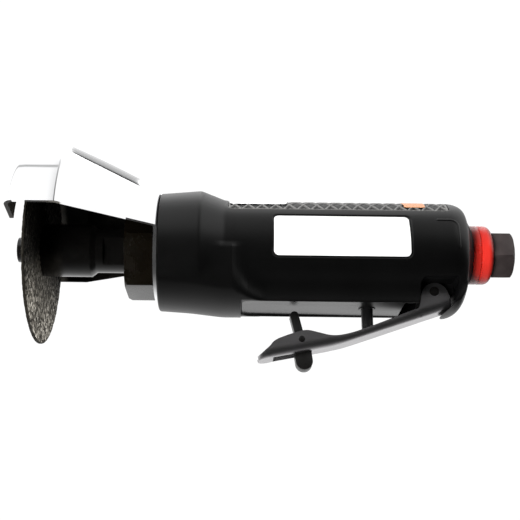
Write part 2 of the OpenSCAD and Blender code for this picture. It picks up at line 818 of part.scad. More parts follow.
module lever_view() {
    ear = [ear_drop * sin(lever_slope), -ear_drop];
    heel = ear.x - ear_r;
    top = smooth([for (p = lever_top_shares) [p.x * lever_reach, p.y * lever_drop]]);
    polygon(concat(
        arc(ear, ear_r * [1, 1], 2 * quarter, ear_front_turn), top,
        [[lever_tip_share * lever_reach, floor_at(lever_tip_share * lever_reach) + lever_sheet]],
        [[lever_reach, floor_at(lever_reach) + lever_sheet]],
        [for (i = [len(floor_stations()) - 1:-1:0]) [floor_stations()[i], floor_at(floor_stations()[i])]],
        arc([heel + lever_heel_round, lever_heel_round - lever_drop], lever_heel_round * [1, 1],
            3 * quarter, 2 * quarter)));
}

module lever_channel_view()
    polygon(concat(
        [[-2 * ear_r, floor_at(0) + lever_sheet]], floor_line(lever_sheet),
        [[lever_reach + overrun, floor_at(lever_reach) + lever_sheet], [lever_reach + overrun, 2 * ear_r],
            [-2 * ear_r, 2 * ear_r]]));

// Plan of the lever's round nose, with room for the rest of it
module lever_plan() {
    x_nose = lever_reach - lever_nose_r;
    translate([x_nose, 0]) circle(r = lever_nose_r);
    translate([-2 * ear_r, -2 * lever_half]) square([x_nose + 2 * ear_r, 4 * lever_half]);
}

module throttle_lever()
    color("#c9cacc") lever_frame() difference() {
        intersection() {
            linear_extrude(2 * lever_half, center = true) lever_view();
            rotate([quarter, 0, 0]) linear_extrude(4 * lever_drop, center = true) lever_plan();
        }
        linear_extrude(2 * (lever_half - lever_sheet), center = true) lever_channel_view();
        cylinder(r = lever_pin_r + running_fit, h = 4 * lever_half, center = true);
        translate([catch_reach, catch_rise - lever_drop, 0])
            cylinder(r = catch_pin_r + seat_fit, h = 4 * lever_half, center = true);
        translate([catch_reach - slot_behind, -2 * lever_drop, -slot_half])
            cube([slot_ahead + slot_behind, 2 * lever_drop, 2 * slot_half]);
    }

module lever_pin()
    color("#2a2a2c") translate([x_pivot, 0, z_pivot]) cross_rod(lever_pin_r, 2 * lever_half);

module safety_catch()
    color("#161617") catch_frame() difference() {
        linear_extrude(catch_t, center = true) union() {
            circle(r = catch_hub_r);
            translate([-stick_w / 2, 0]) square([stick_w, stick_len - stick_w / 2]);
            translate([0, stick_len - stick_w / 2]) circle(d = stick_w);
            rotate([0, 0, tab_turn]) union() {
                translate([-tab_w / 2, tab_w / 2 - tab_len])
                    square([tab_w, tab_len - tab_w / 2 - catch_hub_r / 2]);
                translate([0, tab_w / 2 - tab_len]) circle(d = tab_w);
            }
        }
        cylinder(r = catch_pin_r + running_fit, h = 2 * catch_t, center = true);
    }

module catch_pin()
    color("#3a3a3c") catch_frame() cylinder(r = catch_pin_r, h = 2 * lever_half, center = true);

module catch_spring()
    color("silver") catch_frame() translate([0, 0, catch_t / 2 + catch_wire_r + clear])
        coil(catch_coil_turns, catch_coil_r, catch_wire_r, catch_coil_turns * catch_coil_pitch);

module valve_bush() {
    z_lip = flat_at(x_valve) - bush_lip;
    color("darkkhaki") translate([x_valve, 0, 0]) difference() {
        union() {
            translate([0, 0, -bush_foot_drop])
                cylinder(r = valve_bore_r - seat_fit, h = bush_foot_drop - seat_drop);
            translate([0, 0, z_lip]) cylinder(r = bush_neck_r, h = -seat_drop - z_lip);
        }
        translate([0, 0, z_lip - overrun]) cylinder(r = stem_r + running_fit, h = flat_drop);
        translate([0, 0, z_lip + bush_guide_len]) cylinder(r = bush_chamber_r, h = flat_drop);
        translate([0, 0, -feed_drop]) rod(feed_r, -2 * valve_bore_r, 0);
    }
}

// Height of the lever's floor at the valve, and of the stem's round end resting over it
z_floor = z_pivot + (x_valve - x_pivot) * tan(lever_slope) - (lever_drop - lever_sheet) / cos(lever_slope);
z_stem = z_floor + (stem_r + clear) / cos(lever_slope);
z_poppet = -seat_drop + 2 * (poppet_ring_r + side_play);

module valve_stem()
    color("#1b1b1d") translate([x_valve, 0, 0]) rotate_extrude() polygon(concat(
        arc([0, z_stem], stem_r * [1, 1], -quarter, 0),
        [[stem_r, z_poppet], [poppet_r, z_poppet]],
        [[poppet_r, z_poppet + poppet_t], [0, z_poppet + poppet_t]]));

module valve_o_ring()
    color("black") translate([x_valve, 0, z_poppet - poppet_ring_r]) rotate_extrude()
        translate([poppet_r - poppet_ring_r, 0]) circle(r = poppet_ring_r);

module valve_spring()
    color("silver") translate([x_valve, 0, z_poppet + poppet_t + valve_wire_r + side_play])
        coil(valve_coil_turns, valve_coil_r, valve_wire_r,
            valve_top - z_poppet - poppet_t - 2 * valve_wire_r - 2 * side_play);

module air_inlet() {
    corner_r = inlet_af / 2 / cos(full_turn / hex_sides / 2);
    x_screen = -inlet_thread_len - screen_t;
    color("#3b3634") difference() {
        union() {
            intersection() {
                hex_bar(inlet_af, x_hex_front, x_end, inlet_hex_turn);
                revolve([
                    [0, x_hex_front], [corner_r + seat_fit, x_hex_front],
                    [corner_r + seat_fit, x_end - inlet_bevel], [corner_r - inlet_bevel, x_end], [0, x_end]
                ]);
            }
            rod(journal_r, x_housing_rear, x_hex_front + overrun);
            rod(shank_r, x_housing_rear - shank_len, x_housing_rear + overrun);
        }
        rod(inlet_thread_r, -inlet_thread_len, x_end + overrun);
        rod(screen_seat_r, x_screen, 0);
        revolve([[0, 0], [inlet_thread_r, 0], [inlet_thread_r + inlet_lead, x_end], [0, x_end]]);
        rod(passage_r, x_housing_rear - shank_len - overrun, x_screen + overrun);
    }
}

module inlet_o_ring()
    color("black") translate([x_housing_rear - o_ring_groove / 2, 0, 0]) rotate([0, quarter, 0])
        rotate_extrude() translate([shank_r + o_ring_r + side_play, 0]) circle(r = o_ring_r);

module inlet_screen()
    color("silver") difference() {
        rod(screen_seat_r - seat_fit, -inlet_thread_len - screen_t, -inlet_thread_len);
        for (i = [-1:1]) for (k = [-1:1]) translate([0, i * screen_pitch, k * screen_pitch])
            rod(screen_hole_r, -inlet_thread_len - screen_t - overrun, -inlet_thread_len + overrun);
    }

module exhaust_deflector() {
    x0 = x_cover_rear + side_play;
    x1 = x0 + deflector_len;
    bore = journal_r + clear;
    x_groove = x0 + deflector_land;
    color("#d01818") difference() {
        revolve(concat(
            [
                [bore, x0], [deflector_r, x0], [deflector_r, x_groove],
                [deflector_r - deflector_groove, x_groove + deflector_groove_w / 2],
                [deflector_r, x_groove + deflector_groove_w]
            ],
            arc([deflector_r - deflector_round, x1 - deflector_round], deflector_round * [1, 1], 0, quarter),
            [[bore, x1]]));
        tube(chamber_r, bore - overrun, x0 - overrun, x0 + chamber_len);
        for (turn = deflector_port_turns) rotate([turn, 0, 0])
            translate([x0 + deflector_land / 2, deflector_r, 0]) cross_rod(deflector_port_r, deflector_r);
    }
}

// Least gap between the turns of each spring
echo(valve_spring_gap = coil_gap(valve_coil_turns, valve_coil_r, valve_wire_r,
    valve_top - z_poppet - poppet_t - 2 * valve_wire_r - 2 * side_play));
echo(catch_spring_gap = coil_gap(catch_coil_turns, catch_coil_r, catch_wire_r,
    catch_coil_turns * catch_coil_pitch));

cutting_disc();
outer_flange();
clamp_screw();
spindle();
front_spacer();
clamp_nut();
front_seal();
wheel_guard();
front_end_plate();
front_bearing_outer();
front_bearing_inner();
front_bearing_balls();
front_bearing_cage();
rotor();
rotor_vanes();
cylinder_liner();
liner_pin();
rear_end_plate();
rear_bearing_outer();
rear_bearing_inner();
rear_bearing_balls();
rear_bearing_cage();
rear_gasket();
motor_housing();
grip_sleeve();
rear_cover();
silencer_felt();
throttle_lever();
lever_pin();
safety_catch();
catch_pin();
catch_spring();
valve_bush();
valve_stem();
valve_o_ring();
valve_spring();
air_inlet();
inlet_o_ring();
inlet_screen();
exhaust_deflector();
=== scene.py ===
# Pneumatic cut off tool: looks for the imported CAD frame, metres, X along the tool towards the air inlet
from math import acos, copysign, cos, degrees, hypot, pi, radians, sin, sqrt, tan

import bmesh
import bpy
from mathutils import Matrix, Vector, noise


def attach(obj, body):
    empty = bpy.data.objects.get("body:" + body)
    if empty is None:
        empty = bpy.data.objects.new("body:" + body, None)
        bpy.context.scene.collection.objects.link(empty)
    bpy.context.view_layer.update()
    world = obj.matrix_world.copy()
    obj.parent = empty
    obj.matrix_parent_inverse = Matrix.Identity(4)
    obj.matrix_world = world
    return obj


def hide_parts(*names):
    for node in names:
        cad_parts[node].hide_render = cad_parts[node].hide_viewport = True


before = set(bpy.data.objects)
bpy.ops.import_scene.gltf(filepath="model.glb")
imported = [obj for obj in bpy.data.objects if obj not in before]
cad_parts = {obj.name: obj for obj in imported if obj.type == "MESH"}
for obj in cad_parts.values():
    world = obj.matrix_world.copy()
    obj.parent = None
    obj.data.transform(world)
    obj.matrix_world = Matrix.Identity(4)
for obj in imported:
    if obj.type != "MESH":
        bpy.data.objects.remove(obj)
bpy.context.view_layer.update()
mm = 0.001


# shader sockets with Python arithmetic
class Wire:
    def __init__(self, tree, socket=None):
        self.tree, self.socket = tree, socket

    def make(self, kind, setup=None, feed=None, out=0):
        node = self.tree.nodes.new(kind)
        for key, value in (setup or {}).items():
            if key == "stops":  # ramp stops as (place, colour)
                ramp = node.color_ramp.elements
                while len(ramp) < len(value):
                    ramp.new(0.5)
                for stop, (place, colour) in zip(ramp, value):
                    stop.position, stop.color = place, colour
            else:
                setattr(node, key, value)
        for key, value in (feed or {}).items():
            if isinstance(value, Wire):
                self.tree.links.new(value.socket, node.inputs[key])
            else:
                node.inputs[key].default_value = value
        return Wire(self.tree, node.outputs[out]) if len(node.outputs) else None

    def math(self, operation, a, b=0.0):
        return self.make("ShaderNodeMath", {"operation": operation}, {0: a, 1: b})

    def __add__(self, other): return self.math("ADD", self, other)
    def __radd__(self, other): return self.math("ADD", other, self)
    def __sub__(self, other): return self.math("SUBTRACT", self, other)
    def __rsub__(self, other): return self.math("SUBTRACT", other, self)
    def __mul__(self, other): return self.math("MULTIPLY", self, other)
    def __rmul__(self, other): return self.math("MULTIPLY", other, self)

    def blend(self, a, b):  # this value mixes two colours
        return self.make("ShaderNodeMix", {"data_type": "RGBA"}, {0: self, 6: a, 7: b}, out=2)

    def span(self, low, high, a=0.0, b=1.0):  # smooth step from a to b
        return self.make("ShaderNodeMapRange", {"interpolation_type": "SMOOTHSTEP"},
                         {0: self, 1: low, 2: high, 3: a, 4: b})


def rgb(r, g=None, b=None):
    return (r, r if g is None else g, r if b is None else b, 1.0)


def finish(name, build):
    mat = bpy.data.materials.new(name)
    mat.use_nodes = True
    mat.node_tree.nodes.clear()
    w = Wire(mat.node_tree)
    w.make("ShaderNodeOutputMaterial", feed={"Surface": build(w)})
    return mat


def surface(w, feed):
    return w.make("ShaderNodeBsdfPrincipled", feed=feed)


def place(w):
    return w.make("ShaderNodeTexCoord", out="Object")


def axes(w, coord, names):
    return [w.make("ShaderNodeSeparateXYZ", feed={0: coord}, out=name) for name in names]


def speckle(w, coord, size, detail=2.0, rough=0.5):  # one size, or one each along x, y and z
    sizes = size if isinstance(size, tuple) else (size,) * 3
    scaled = w.make("ShaderNodeVectorMath", {"operation": "MULTIPLY"},
                    {0: coord, 1: [1 / (s * mm) for s in sizes]})
    feed = {"Vector": scaled, "Scale": 1.0, "Detail": detail, "Roughness": rough}
    return w.make("ShaderNodeTexNoise", feed=feed)


def bump(w, height, depth, strength=0.5):
    return w.make("ShaderNodeBump", feed={"Strength": strength, "Distance": depth * mm, "Height": height})


# finishes: sizes and depths in millimetres
gripLook = {"dark": rgb(0.0012), "light": rgb(0.0022), "rough": 0.32, "cloudRough": 0.12, "grainRough": 0.05,
            "cloud": 14, "grain": 0.35, "grainMix": 0.6, "depth": 0.02, "strength": 0.6, "specular": 0.5}


def mouldGrain(w, p):
    grain = speckle(w, p, gripLook["grain"], 2, gripLook["grainMix"])
    return grain, bump(w, grain, gripLook["depth"], gripLook["strength"])


def gripSkin(w):
    look, p = gripLook, place(w)
    cloud = speckle(w, p, look["cloud"], 3)
    grain, normal = mouldGrain(w, p)
    return surface(w, {
        "Base Color": cloud.blend(look["dark"], look["light"]),
        "Roughness": look["rough"] + look["cloudRough"] * cloud + look["grainRough"] * grain,
        "Specular IOR Level": look["specular"], "Normal": normal})


flatLook = {"dark": rgb(0.004), "light": rgb(0.007), "cloud": (30, 6, 6), "streak": (40, 0.9, 0.9),
            "rough": 0.15, "cloudRough": 0.14, "streakRough": 0.05, "dullRough": 0.45,
            "dullX": (-66, -46), "dullY": (4, -10), "specular": 0.62, "depth": 0.012}


def flatSkin(w):  # smooth strip under the grip, dull at its near rear corner
    look, p = flatLook, place(w)
    cloud = speckle(w, p, look["cloud"], 3)
    streak = speckle(w, p, look["streak"])
    x, y = axes(w, p, "XY")
    dull = x.span(*[v * mm for v in look["dullX"]]) * y.span(*[v * mm for v in look["dullY"]])
    return surface(w, {
        "Base Color": cloud.blend(look["dark"], look["light"]),
        "Roughness": look["rough"] + look["cloudRough"] * cloud + look["streakRough"] * streak
        + look["dullRough"] * dull,
        "Specular IOR Level": look["specular"], "Normal": bump(w, streak, look["depth"])})


treadLook = {"floor": rgb(0.014), "ridge": rgb(0.190, 0.186, 0.181), "even": 0.55, "grainTint": 0.45,
             "rough": 0.52, "ridgeRough": -0.12, "grainRough": 0.06}


def treadSkin(w):
    look = treadLook
    lift = w.make("ShaderNodeAttribute", {"attribute_name": "ridge"}, out="Fac")
    grain, normal = mouldGrain(w, place(w))
    return surface(w, {
        "Base Color": (lift * (look["even"] + look["grainTint"] * grain)).blend(look["floor"], look["ridge"]),
        "Roughness": look["rough"] + look["ridgeRough"] * lift + look["grainRough"] * grain, "Normal": normal})


chromeLook = {"clean": rgb(0.90, 0.905, 0.915), "smeared": rgb(0.95, 0.95, 0.955), "metal": 0.97,
              "rough": 0.045, "smearRough": 0.02, "scratchRough": 0.03, "wave": 26, "waveDepth": 0.04,
              "smear": (9, 1.1, 1.1), "smearMix": 0.65, "scratch": (5, 0.16, 0.16), "scratchSpan": (0.55, 0.75)}


def chromeSkin(w):
    look, p = chromeLook, place(w)
    wave = speckle(w, p, look["wave"], 1)
    smear = speckle(w, p, look["smear"], 4, look["smearMix"])
    scratch = speckle(w, p, look["scratch"]).span(*look["scratchSpan"])
    return surface(w, {
        "Base Color": smear.blend(look["clean"], look["smeared"]), "Metallic": look["metal"],
        "Roughness": look["rough"] + look["smearRough"] * smear + look["scratchRough"] * scratch,
        "Normal": bump(w, wave, look["waveDepth"])})


# inside of the guard: a dark copy of the chrome sheet, painted shade and painted dark reflection
insideShadeLook = {"dark": rgb(0.010, 0.009, 0.008), "light": rgb(0.028, 0.026, 0.023), "metal": 0.35, "rough": 0.42,
              "cloudRough": 0.2, "cloud": 9, "cloudSpan": (0.35, 0.7), "grit": 0.5, "depth": 0.02}


def guardShadedInside(w):
    look, p = insideShadeLook, place(w)
    cloud = speckle(w, p, look["cloud"], 4)
    grit = speckle(w, p, look["grit"], 2)
    return surface(w, {
        "Base Color": cloud.span(*look["cloudSpan"]).blend(look["dark"], look["light"]), "Metallic": look["metal"],
        "Roughness": look["rough"] + look["cloudRough"] * cloud, "Normal": bump(w, grit, look["depth"])})


gritLook = {
    "grain": 1.15, "fine": 0.55, "fineMix": 0.7, "cloud": 7, "weave": 3.1,
    # painted shade by radius (from, to, start, end): darker near the hub and at the rim
    "paintedShade": [(16.0, 31.0, 0.64, 1.0), (36.7, 37.2, 1.0, 0.02)],
    "shares": {"tone": 0.75, "fine": 0.95, "cloud": 0.2, "weave": 0.05}, "level": 0.55,
    "stops": [(0.0, rgb(0.010, 0.009, 0.007)), (0.30, rgb(0.040, 0.036, 0.029)),
              (0.58, rgb(0.150, 0.138, 0.115)), (0.90, rgb(0.52, 0.49, 0.43))],
    "rough": 0.95, "toneRough": 0.35, "specular": 0.35, "relief": (0.7, 0.6), "depth": 0.35, "strength": 0.9,
}


def abrasiveSkin(w):
    look, p, share = gritLook, place(w), gritLook["shares"]
    cell = w.make("ShaderNodeTexVoronoi", {"feature": "F1"},
                  {"Vector": p, "Scale": 1 / (look["grain"] * mm), "Randomness": 1.0}, out="Color")
    tone = w.make("ShaderNodeSeparateColor", feed={0: cell})
    fine = speckle(w, p, look["fine"], 3, look["fineMix"])
    cloud = speckle(w, p, look["cloud"], 3)
    side, up = axes(w, p, "YZ")
    turn = 2 * pi / (look["weave"] * mm)
    weave = w.math("SINE", (side + up) * turn) * w.math("SINE", (side - up) * turn)
    reach = w.math("SQRT", side * side + up * up)
    centre, edge = [reach.span(a * mm, b * mm, c, d) for a, b, c, d in look["paintedShade"]]  # painted shade: darker near the hub and at the rim
    mixed = tone * share["tone"] + fine * share["fine"] + cloud * share["cloud"] + weave * share["weave"]
    colour = w.make("ShaderNodeValToRGB", {"stops": look["stops"]}, {0: (mixed - look["level"]) * (centre * edge)})
    return surface(w, {
        "Base Color": colour, "Roughness": look["rough"] - look["toneRough"] * tone,
        "Specular IOR Level": look["specular"],
        "Normal": bump(w, tone * look["relief"][0] + fine * look["relief"][1], look["depth"], look["strength"])})


metalLook = {"cloud": 6, "cloudSpan": (0.3, 0.7), "turned": (0.22, 6, 6), "dim": 0.7, "turnedRough": 0.03}


def darkMetal(tint, rough, metal, spread=0.08, depth=0.012):
    def build(w):
        look, p = metalLook, place(w)
        cloud = speckle(w, p, look["cloud"], 4)
        turned = speckle(w, p, look["turned"])
        dim = [look["dim"] * c for c in tint]
        return surface(w, {
            "Base Color": cloud.span(*look["cloudSpan"]).blend(rgb(*dim), rgb(*tint)), "Metallic": metal,
            "Roughness": rough - spread / 2 + spread * cloud + look["turnedRough"] * turned,
            "Normal": bump(w, turned, depth)})
    return build


brushLook = {"cloud": 8, "brushMix": 0.6, "dim": 0.86, "brushRough": 0.1, "cloudRough": 0.08, "level": 0.07}


def brushedMetal(tint, rough, sizes, depth=0.012, metal=1.0):
    def build(w):
        look, p = brushLook, place(w)
        brush = speckle(w, p, sizes, 3, look["brushMix"])
        cloud = speckle(w, p, look["cloud"], 3)
        dim = [look["dim"] * c for c in tint]
        return surface(w, {
            "Base Color": brush.blend(rgb(*dim), rgb(*tint)), "Metallic": metal,
            "Roughness": rough - look["level"] + look["brushRough"] * brush + look["cloudRough"] * cloud,
            "Normal": bump(w, brush, depth)})
    return build


plasticLook = {"cloud": 5, "cloudRough": 0.08}


def plastic(tint, rough, specular=0.5, grainSize=0.5, depth=0.01, spread=0.15):
    def build(w):
        look, p = plasticLook, place(w)
        cloud = speckle(w, p, look["cloud"], 3)
        grain = speckle(w, p, grainSize, 2)
        dim = [(1 - spread) * c for c in tint]
        return surface(w, {
            "Base Color": cloud.blend(rgb(*dim), rgb(*tint)), "Specular IOR Level": specular,
            "Roughness": rough - look["cloudRough"] / 2 + look["cloudRough"] * cloud,
            "Normal": bump(w, grain, depth)})
    return build


feltLook = {"dark": rgb(0.16, 0.15, 0.12), "light": rgb(0.34, 0.32, 0.27), "fibre": (0.9, 0.25, 0.25),
            "fibreMix": 0.7, "rough": 0.85, "fibreRough": 0.1, "depth": 0.2, "strength": 0.8}


def feltSkin(w):
    look = feltLook
    fibre = speckle(w, place(w), look["fibre"], 3, look["fibreMix"])
    return surface(w, {
        "Base Color": fibre.blend(look["dark"], look["light"]),
        "Roughness": look["rough"] + look["fibreRough"] * fibre,
        "Normal": bump(w, fibre, look["depth"], look["strength"])})


turnedSizes, leverSizes = (0.2, 5, 5), (16, 0.5, 0.5)
finishes = {key: finish(name, build) for key, (name, build) in {
    "grip": ("gripSkin", gripSkin),
    "tread": ("treadSkin", treadSkin),
    "chrome": ("chromeSkin", chromeSkin),
    "inside": ("guardShadedInside", guardShadedInside),
    "abrasive": ("abrasiveSkin", abrasiveSkin),
    "spindle": ("spindleBlack", darkMetal((0.0030, 0.0028, 0.0026), 0.20, 0.0)),
    "nut": ("nutBrown", darkMetal((0.0034, 0.0026, 0.0016), 0.26, 0.0)),
    "pin": ("pinBlack", darkMetal((0.004, 0.0038, 0.0036), 0.30, 0.0)),
    "inlet": ("inletPlate", darkMetal((0.062, 0.049, 0.048), 0.44, 0.35, 0.12, 0.02)),
    "lever": ("leverNickel", brushedMetal((0.52, 0.51, 0.52), 0.33, leverSizes, 0.004, 0.982)),
    # inside of the lever channel: a dark copy of the nickel, painted shade
    "leverShadedInside": ("leverShadedInside", darkMetal((0.012, 0.012, 0.012), 0.5, 0.3)),
    "steel": ("groundSteel", brushedMetal((0.62, 0.62, 0.63), 0.25, turnedSizes)),
    "spacer": ("spacerBright", brushedMetal((0.80, 0.77, 0.72), 0.13, turnedSizes)),
    "housing": ("housingBlack", darkMetal((0.004, 0.004, 0.0042), 0.5, 0.0)),
    "flat": ("flatSkin", flatSkin),
    "iron": ("platedIron", darkMetal((0.33, 0.33, 0.34), 0.45, 1.0)),
    "brass": ("turnedBrass", brushedMetal((0.70, 0.52, 0.24), 0.30, turnedSizes)),
    "catch": ("catchBlack", plastic((0.006, 0.0058, 0.0055), 0.38)),
    "stem": ("stemBlack", plastic((0.006, 0.006, 0.0063), 0.30)),
    "cover": ("coverBlack", plastic((0.0030, 0.0030, 0.0034), 0.6, 0.2)),
    "pocket": ("pocketBlack", plastic((0.0030, 0.0030, 0.0032), 0.65, 0.15)),
    "red": ("deflectorRed", plastic((0.72, 0.034, 0.024), 0.26, 0.5, 1.5, 0.02, 0.10)),
    "resin": ("vaneResin", plastic((0.24, 0.15, 0.08), 0.6, 0.4, 0.8, 0.05, 0.4)),
    "rubber": ("sealRubber", plastic((0.018, 0.018, 0.018), 0.7, 0.3)),
    "felt": ("feltSkin", feltSkin),
    "label": ("labelWhite", plastic((0.88, 0.88, 0.88), 0.34, 0.4, 2.5, 0.01, 0.02)),
    "orange": ("labelOrange", plastic((0.86, 0.40, 0.20), 0.4, 0.4, 2.5, 0.01, 0.05)),
}.items()}
print("finishes:", len(finishes))


# mesh helpers
def addObject(name, data):
    obj = bpy.data.objects.new(name, data)
    bpy.context.collection.objects.link(obj)
    return obj


def meshOf(bm, name):
    mesh = bpy.data.meshes.new(name)
    bm.to_mesh(mesh)
    bm.free()
    return mesh


def addPiece(name, verts, faces, mats, body, replaced=(), faceMats=None, sharp=35.0):
    mesh = bpy.data.meshes.new(name)
    mesh.from_pydata([tuple(v) for v in verts], [], faces)
    for mat in mats:
        mesh.materials.append(mat)
    if faceMats:
        mesh.polygons.foreach_set("material_index", faceMats)
    return addMesh(name, mesh, body, replaced, sharp)


def addMesh(name, mesh, body, replaced=(), sharp=35.0):
    mesh.validate()
    mesh.shade_smooth()
    mesh.set_sharp_from_angle(angle=radians(sharp))
    obj = addObject(name, mesh)
    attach(obj, body)
    for node in replaced:
        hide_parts(node)
    return obj


def turnOutward(mesh, outward=None):  # consistent normals, flipped where a test says so
    bm = bmesh.new()
    bm.from_mesh(mesh)
    bmesh.ops.recalc_face_normals(bm, faces=bm.faces)
    if outward and not outward(bm):
        bmesh.ops.reverse_faces(bm, faces=bm.faces)
    bm.to_mesh(mesh)
    bm.free()


def roundEdges(piece, width, angle):
    mod = piece.modifiers.new("edge", "BEVEL")
    mod.width, mod.segments, mod.limit_method, mod.angle_limit = width * mm, 2, "ANGLE", radians(angle)
    mod.harden_normals = True


def gridFaces(rows, cols, closedRows=False, closedCols=False, skip=None):
    faces = []
    for i in range(rows if closedRows else rows - 1):
        for j in range(cols if closedCols else cols - 1):
            if skip and skip(i, j):
                continue
            a, b = (i + 1) % rows, (j + 1) % cols
            faces.append((i * cols + j, i * cols + b, a * cols + b, a * cols + j))
    return faces


def around(x, r, turn):  # turn in degrees, from the -Y side up
    t = radians(turn)
    return Vector((x * mm, -r * cos(t) * mm, r * sin(t) * mm))


def arcPoints(centre, r, a, b, steps):
    turns = [radians(a + (b - a) * k / steps) for k in range(steps + 1)]
    return [(centre[0] + r * cos(t), centre[1] + r * sin(t)) for t in turns]


def roundPath(points, radii, steps):  # open path with its corners turned into arcs
    path = [Vector(points[0])]
    for before, corner, after, r in zip(points, points[1:], points[2:], radii):
        c = Vector(corner)
        u, v = (Vector(before) - c).normalized(), (Vector(after) - c).normalized()
        half = u.angle(v) / 2
        reach = r / tan(half)
        middle = c + (u + v).normalized() * (r / sin(half))
        start, end = c + u * reach - middle, c + v * reach - middle
        swing = start.angle(end)
        for k in range(steps + 1):
            s = k / steps
            path.append(middle + (start * sin((1 - s) * swing) + end * sin(s * swing)) / sin(swing))
    path.append(Vector(points[-1]))
    return path


def splitPath(path, gap):  # points no further apart than about the gap
    line = []
    for a, b in zip(path, path[1:]):
        n = max(int((b - a).length / gap), 1)
        line += [a.lerp(b, k / n) for k in range(n)]
    return line + [path[-1]]


def heading(path, k):
    return (path[min(k + 1, len(path) - 1)] - path[max(k - 1, 0)]).normalized()


def offsetPath(path, distance):
    moved = []
    for k, p in enumerate(path):
        t = heading(path, k)
        moved.append(p + Vector((-t.y, t.x)) * distance)
    return moved


def sMax(a, b, k):
    h = max(k - abs(a - b), 0.0) / k
    return max(a, b) + h * h * k / 4


def sMin(a, b, k):
    return -sMax(-a, -b, k)


def ease(value, low, high):
    t = min(max((value - low) / (high - low), 0.0), 1.0)
    return t * t * (3 - 2 * t)


def along(points, x):  # straight lines through (x, value) points
    for (x0, v0), (x1, v1) in zip(points, points[1:]):
        if x <= x1:
            return v0 + (v1 - v0) * (x - x0) / (x1 - x0)
    return points[-1][1]


def smoothed(points, x, spread, taps=4):
    return sum(along(points, x + spread * k / taps) for k in range(-taps, taps + 1)) / (2 * taps + 1)


def roundBox(x, y, x0, x1, y0, y1, r):  # signed distance to a rounded rectangle
    dx = abs(x - (x0 + x1) / 2) - (x1 - x0) / 2 + r
    dy = abs(y - (y0 + y1) / 2) - (y1 - y0) / 2 + r
    return hypot(max(dx, 0), max(dy, 0)) + min(max(dx, dy), 0) - r


def stations(low, high, coarse, bands):  # spacing that gets finer inside the bands
    values, x = [low], low
    while x < high - 1e-6:
        gap = min([coarse] + [step for a, b, step in bands if a <= x + step and x < b])
        x = min(x + gap, high)
        values.append(x)
    return values


# grip sleeve
sleeve = {
    "front": -138.8, "rim": -18.6, "bore": 18.5, "boreEdge": 0.3,
    "coverBore": 16.45, "coverSeat": -22.8, "coverEdge": 0.2,
    "boot": [(-137.9, 23.2), (-122.6, 24.5), (-121.5, 24.1), (-113.2, 20.9), (-109.0, 20.5), (-25.6, 20.5)],
    "bootEdge": 0.9, "bootSmooth": 0.7, "domeLen": 7.0, "rimR": 16.9, "waist": 20.5,
    "bootEnd": -124.0, "bootTrail": 0.26, "trailFrom": 54.0, "trailEnd": -85.0,
    "keel": [(-137.9, 24.0), (-126.3, 24.7), (-114.0, 26.1), (-60.0, 26.0), (-34.0, 25.9), (-27.0, 25.8)],
    "keelHalf": [(-140.0, 20.0), (-110.0, 19.0), (-104.0, 14.0), (-98.0, 11.0), (-18.0, 11.0)],
    "keelRound": [(-140.0, 5.0), (-111.0, 5.0), (-100.0, 1.0), (-18.0, 1.0)],
    "keelLen": 8.4, "keelSmooth": 2.0, "keelFrom": 0.2, "keelDeep": 6.0, "keelIn": 6.0, "keelOut": 4.0,
    "fillet": 5.5, "crease": 0.02, "keelLeast": 0.02,
    "flat": [(-107.0, 22.65), (-31.2, 23.15)], "flatFront": -106.2, "flatRear": -31.2, "flatCorner": 4.0,
    "flatStep": 0.25, "flatPast": 30.0, "flatEdge": 0.1, "flatRound": 0.35, "rail": 23.45, "railHalf": 10.0,
    "labelX": (-94.1, -41.7), "labelTurn": (-22.2, 25.6), "labelGap": 0.7, "labelDepth": 0.35,
    "labelCorner": 1.9, "labelEdge": 0.12,
    "treadX": (-111.9, -25.5), "treadTurn": (36.5, 143.5), "treadDepth": 0.75, "treadCorner": 1.6,
    "treadEdge": (0.05, 0.35),
    # mesh spacing along the tool and around it: a coarse step, and finer steps in bands (from, to, step)
    "stepX": 1.3, "treadMesh": (0.8, 2.0, 0.2), "labelMesh": (1.2, 1.8, 0.18),
    "bandsX": [(-106.8, -101.8, 0.28), (-123.6, -120.4, 0.3), (-114.6, -108, 0.5), (-46.5, -22, 0.55)],
    "stepTurn": 2.6,
    "bandsTurn": [(-90, -48, 1.0), (228, 270, 1.0), (-69, -62, 0.25), (242, 249, 0.25), (34.5, 40.5, 0.5),
                  (139.5, 145.5, 0.5), (-25.5, -17.5, 0.5), (20.5, 29, 0.5)],
}


bootStart = sleeve["front"] + sleeve["bootEdge"]
keelEnd = sleeve["rim"] - sleeve["keelLen"]


def dome(x, length, high):  # quarter ellipse that falls to the rear rim
    t = (x - sleeve["rim"] + length) / length
    return sleeve["rimR"] + (high - sleeve["rimR"]) * sqrt(max(1 - t * t, 0))


def waistR(x):
    s = sleeve
    if x < bootStart:
        t = bootStart - x
        return s["boot"][0][1] - s["bootEdge"] + sqrt(max(s["bootEdge"] ** 2 - t * t, 0))
    if x > s["rim"] - s["domeLen"]:
        return dome(x, s["domeLen"], s["waist"])
    return smoothed(s["boot"], x, min(s["bootSmooth"], x - bootStart))


def keelR(x):
    s = sleeve
    if x < bootStart:
        return waistR(x) + s["keel"][0][1] - s["boot"][0][1]
    if x > keelEnd:
        return dome(x, s["keelLen"], s["keel"][-1][1])
    return smoothed(s["keel"], x, min(s["keelSmooth"], x - bootStart))


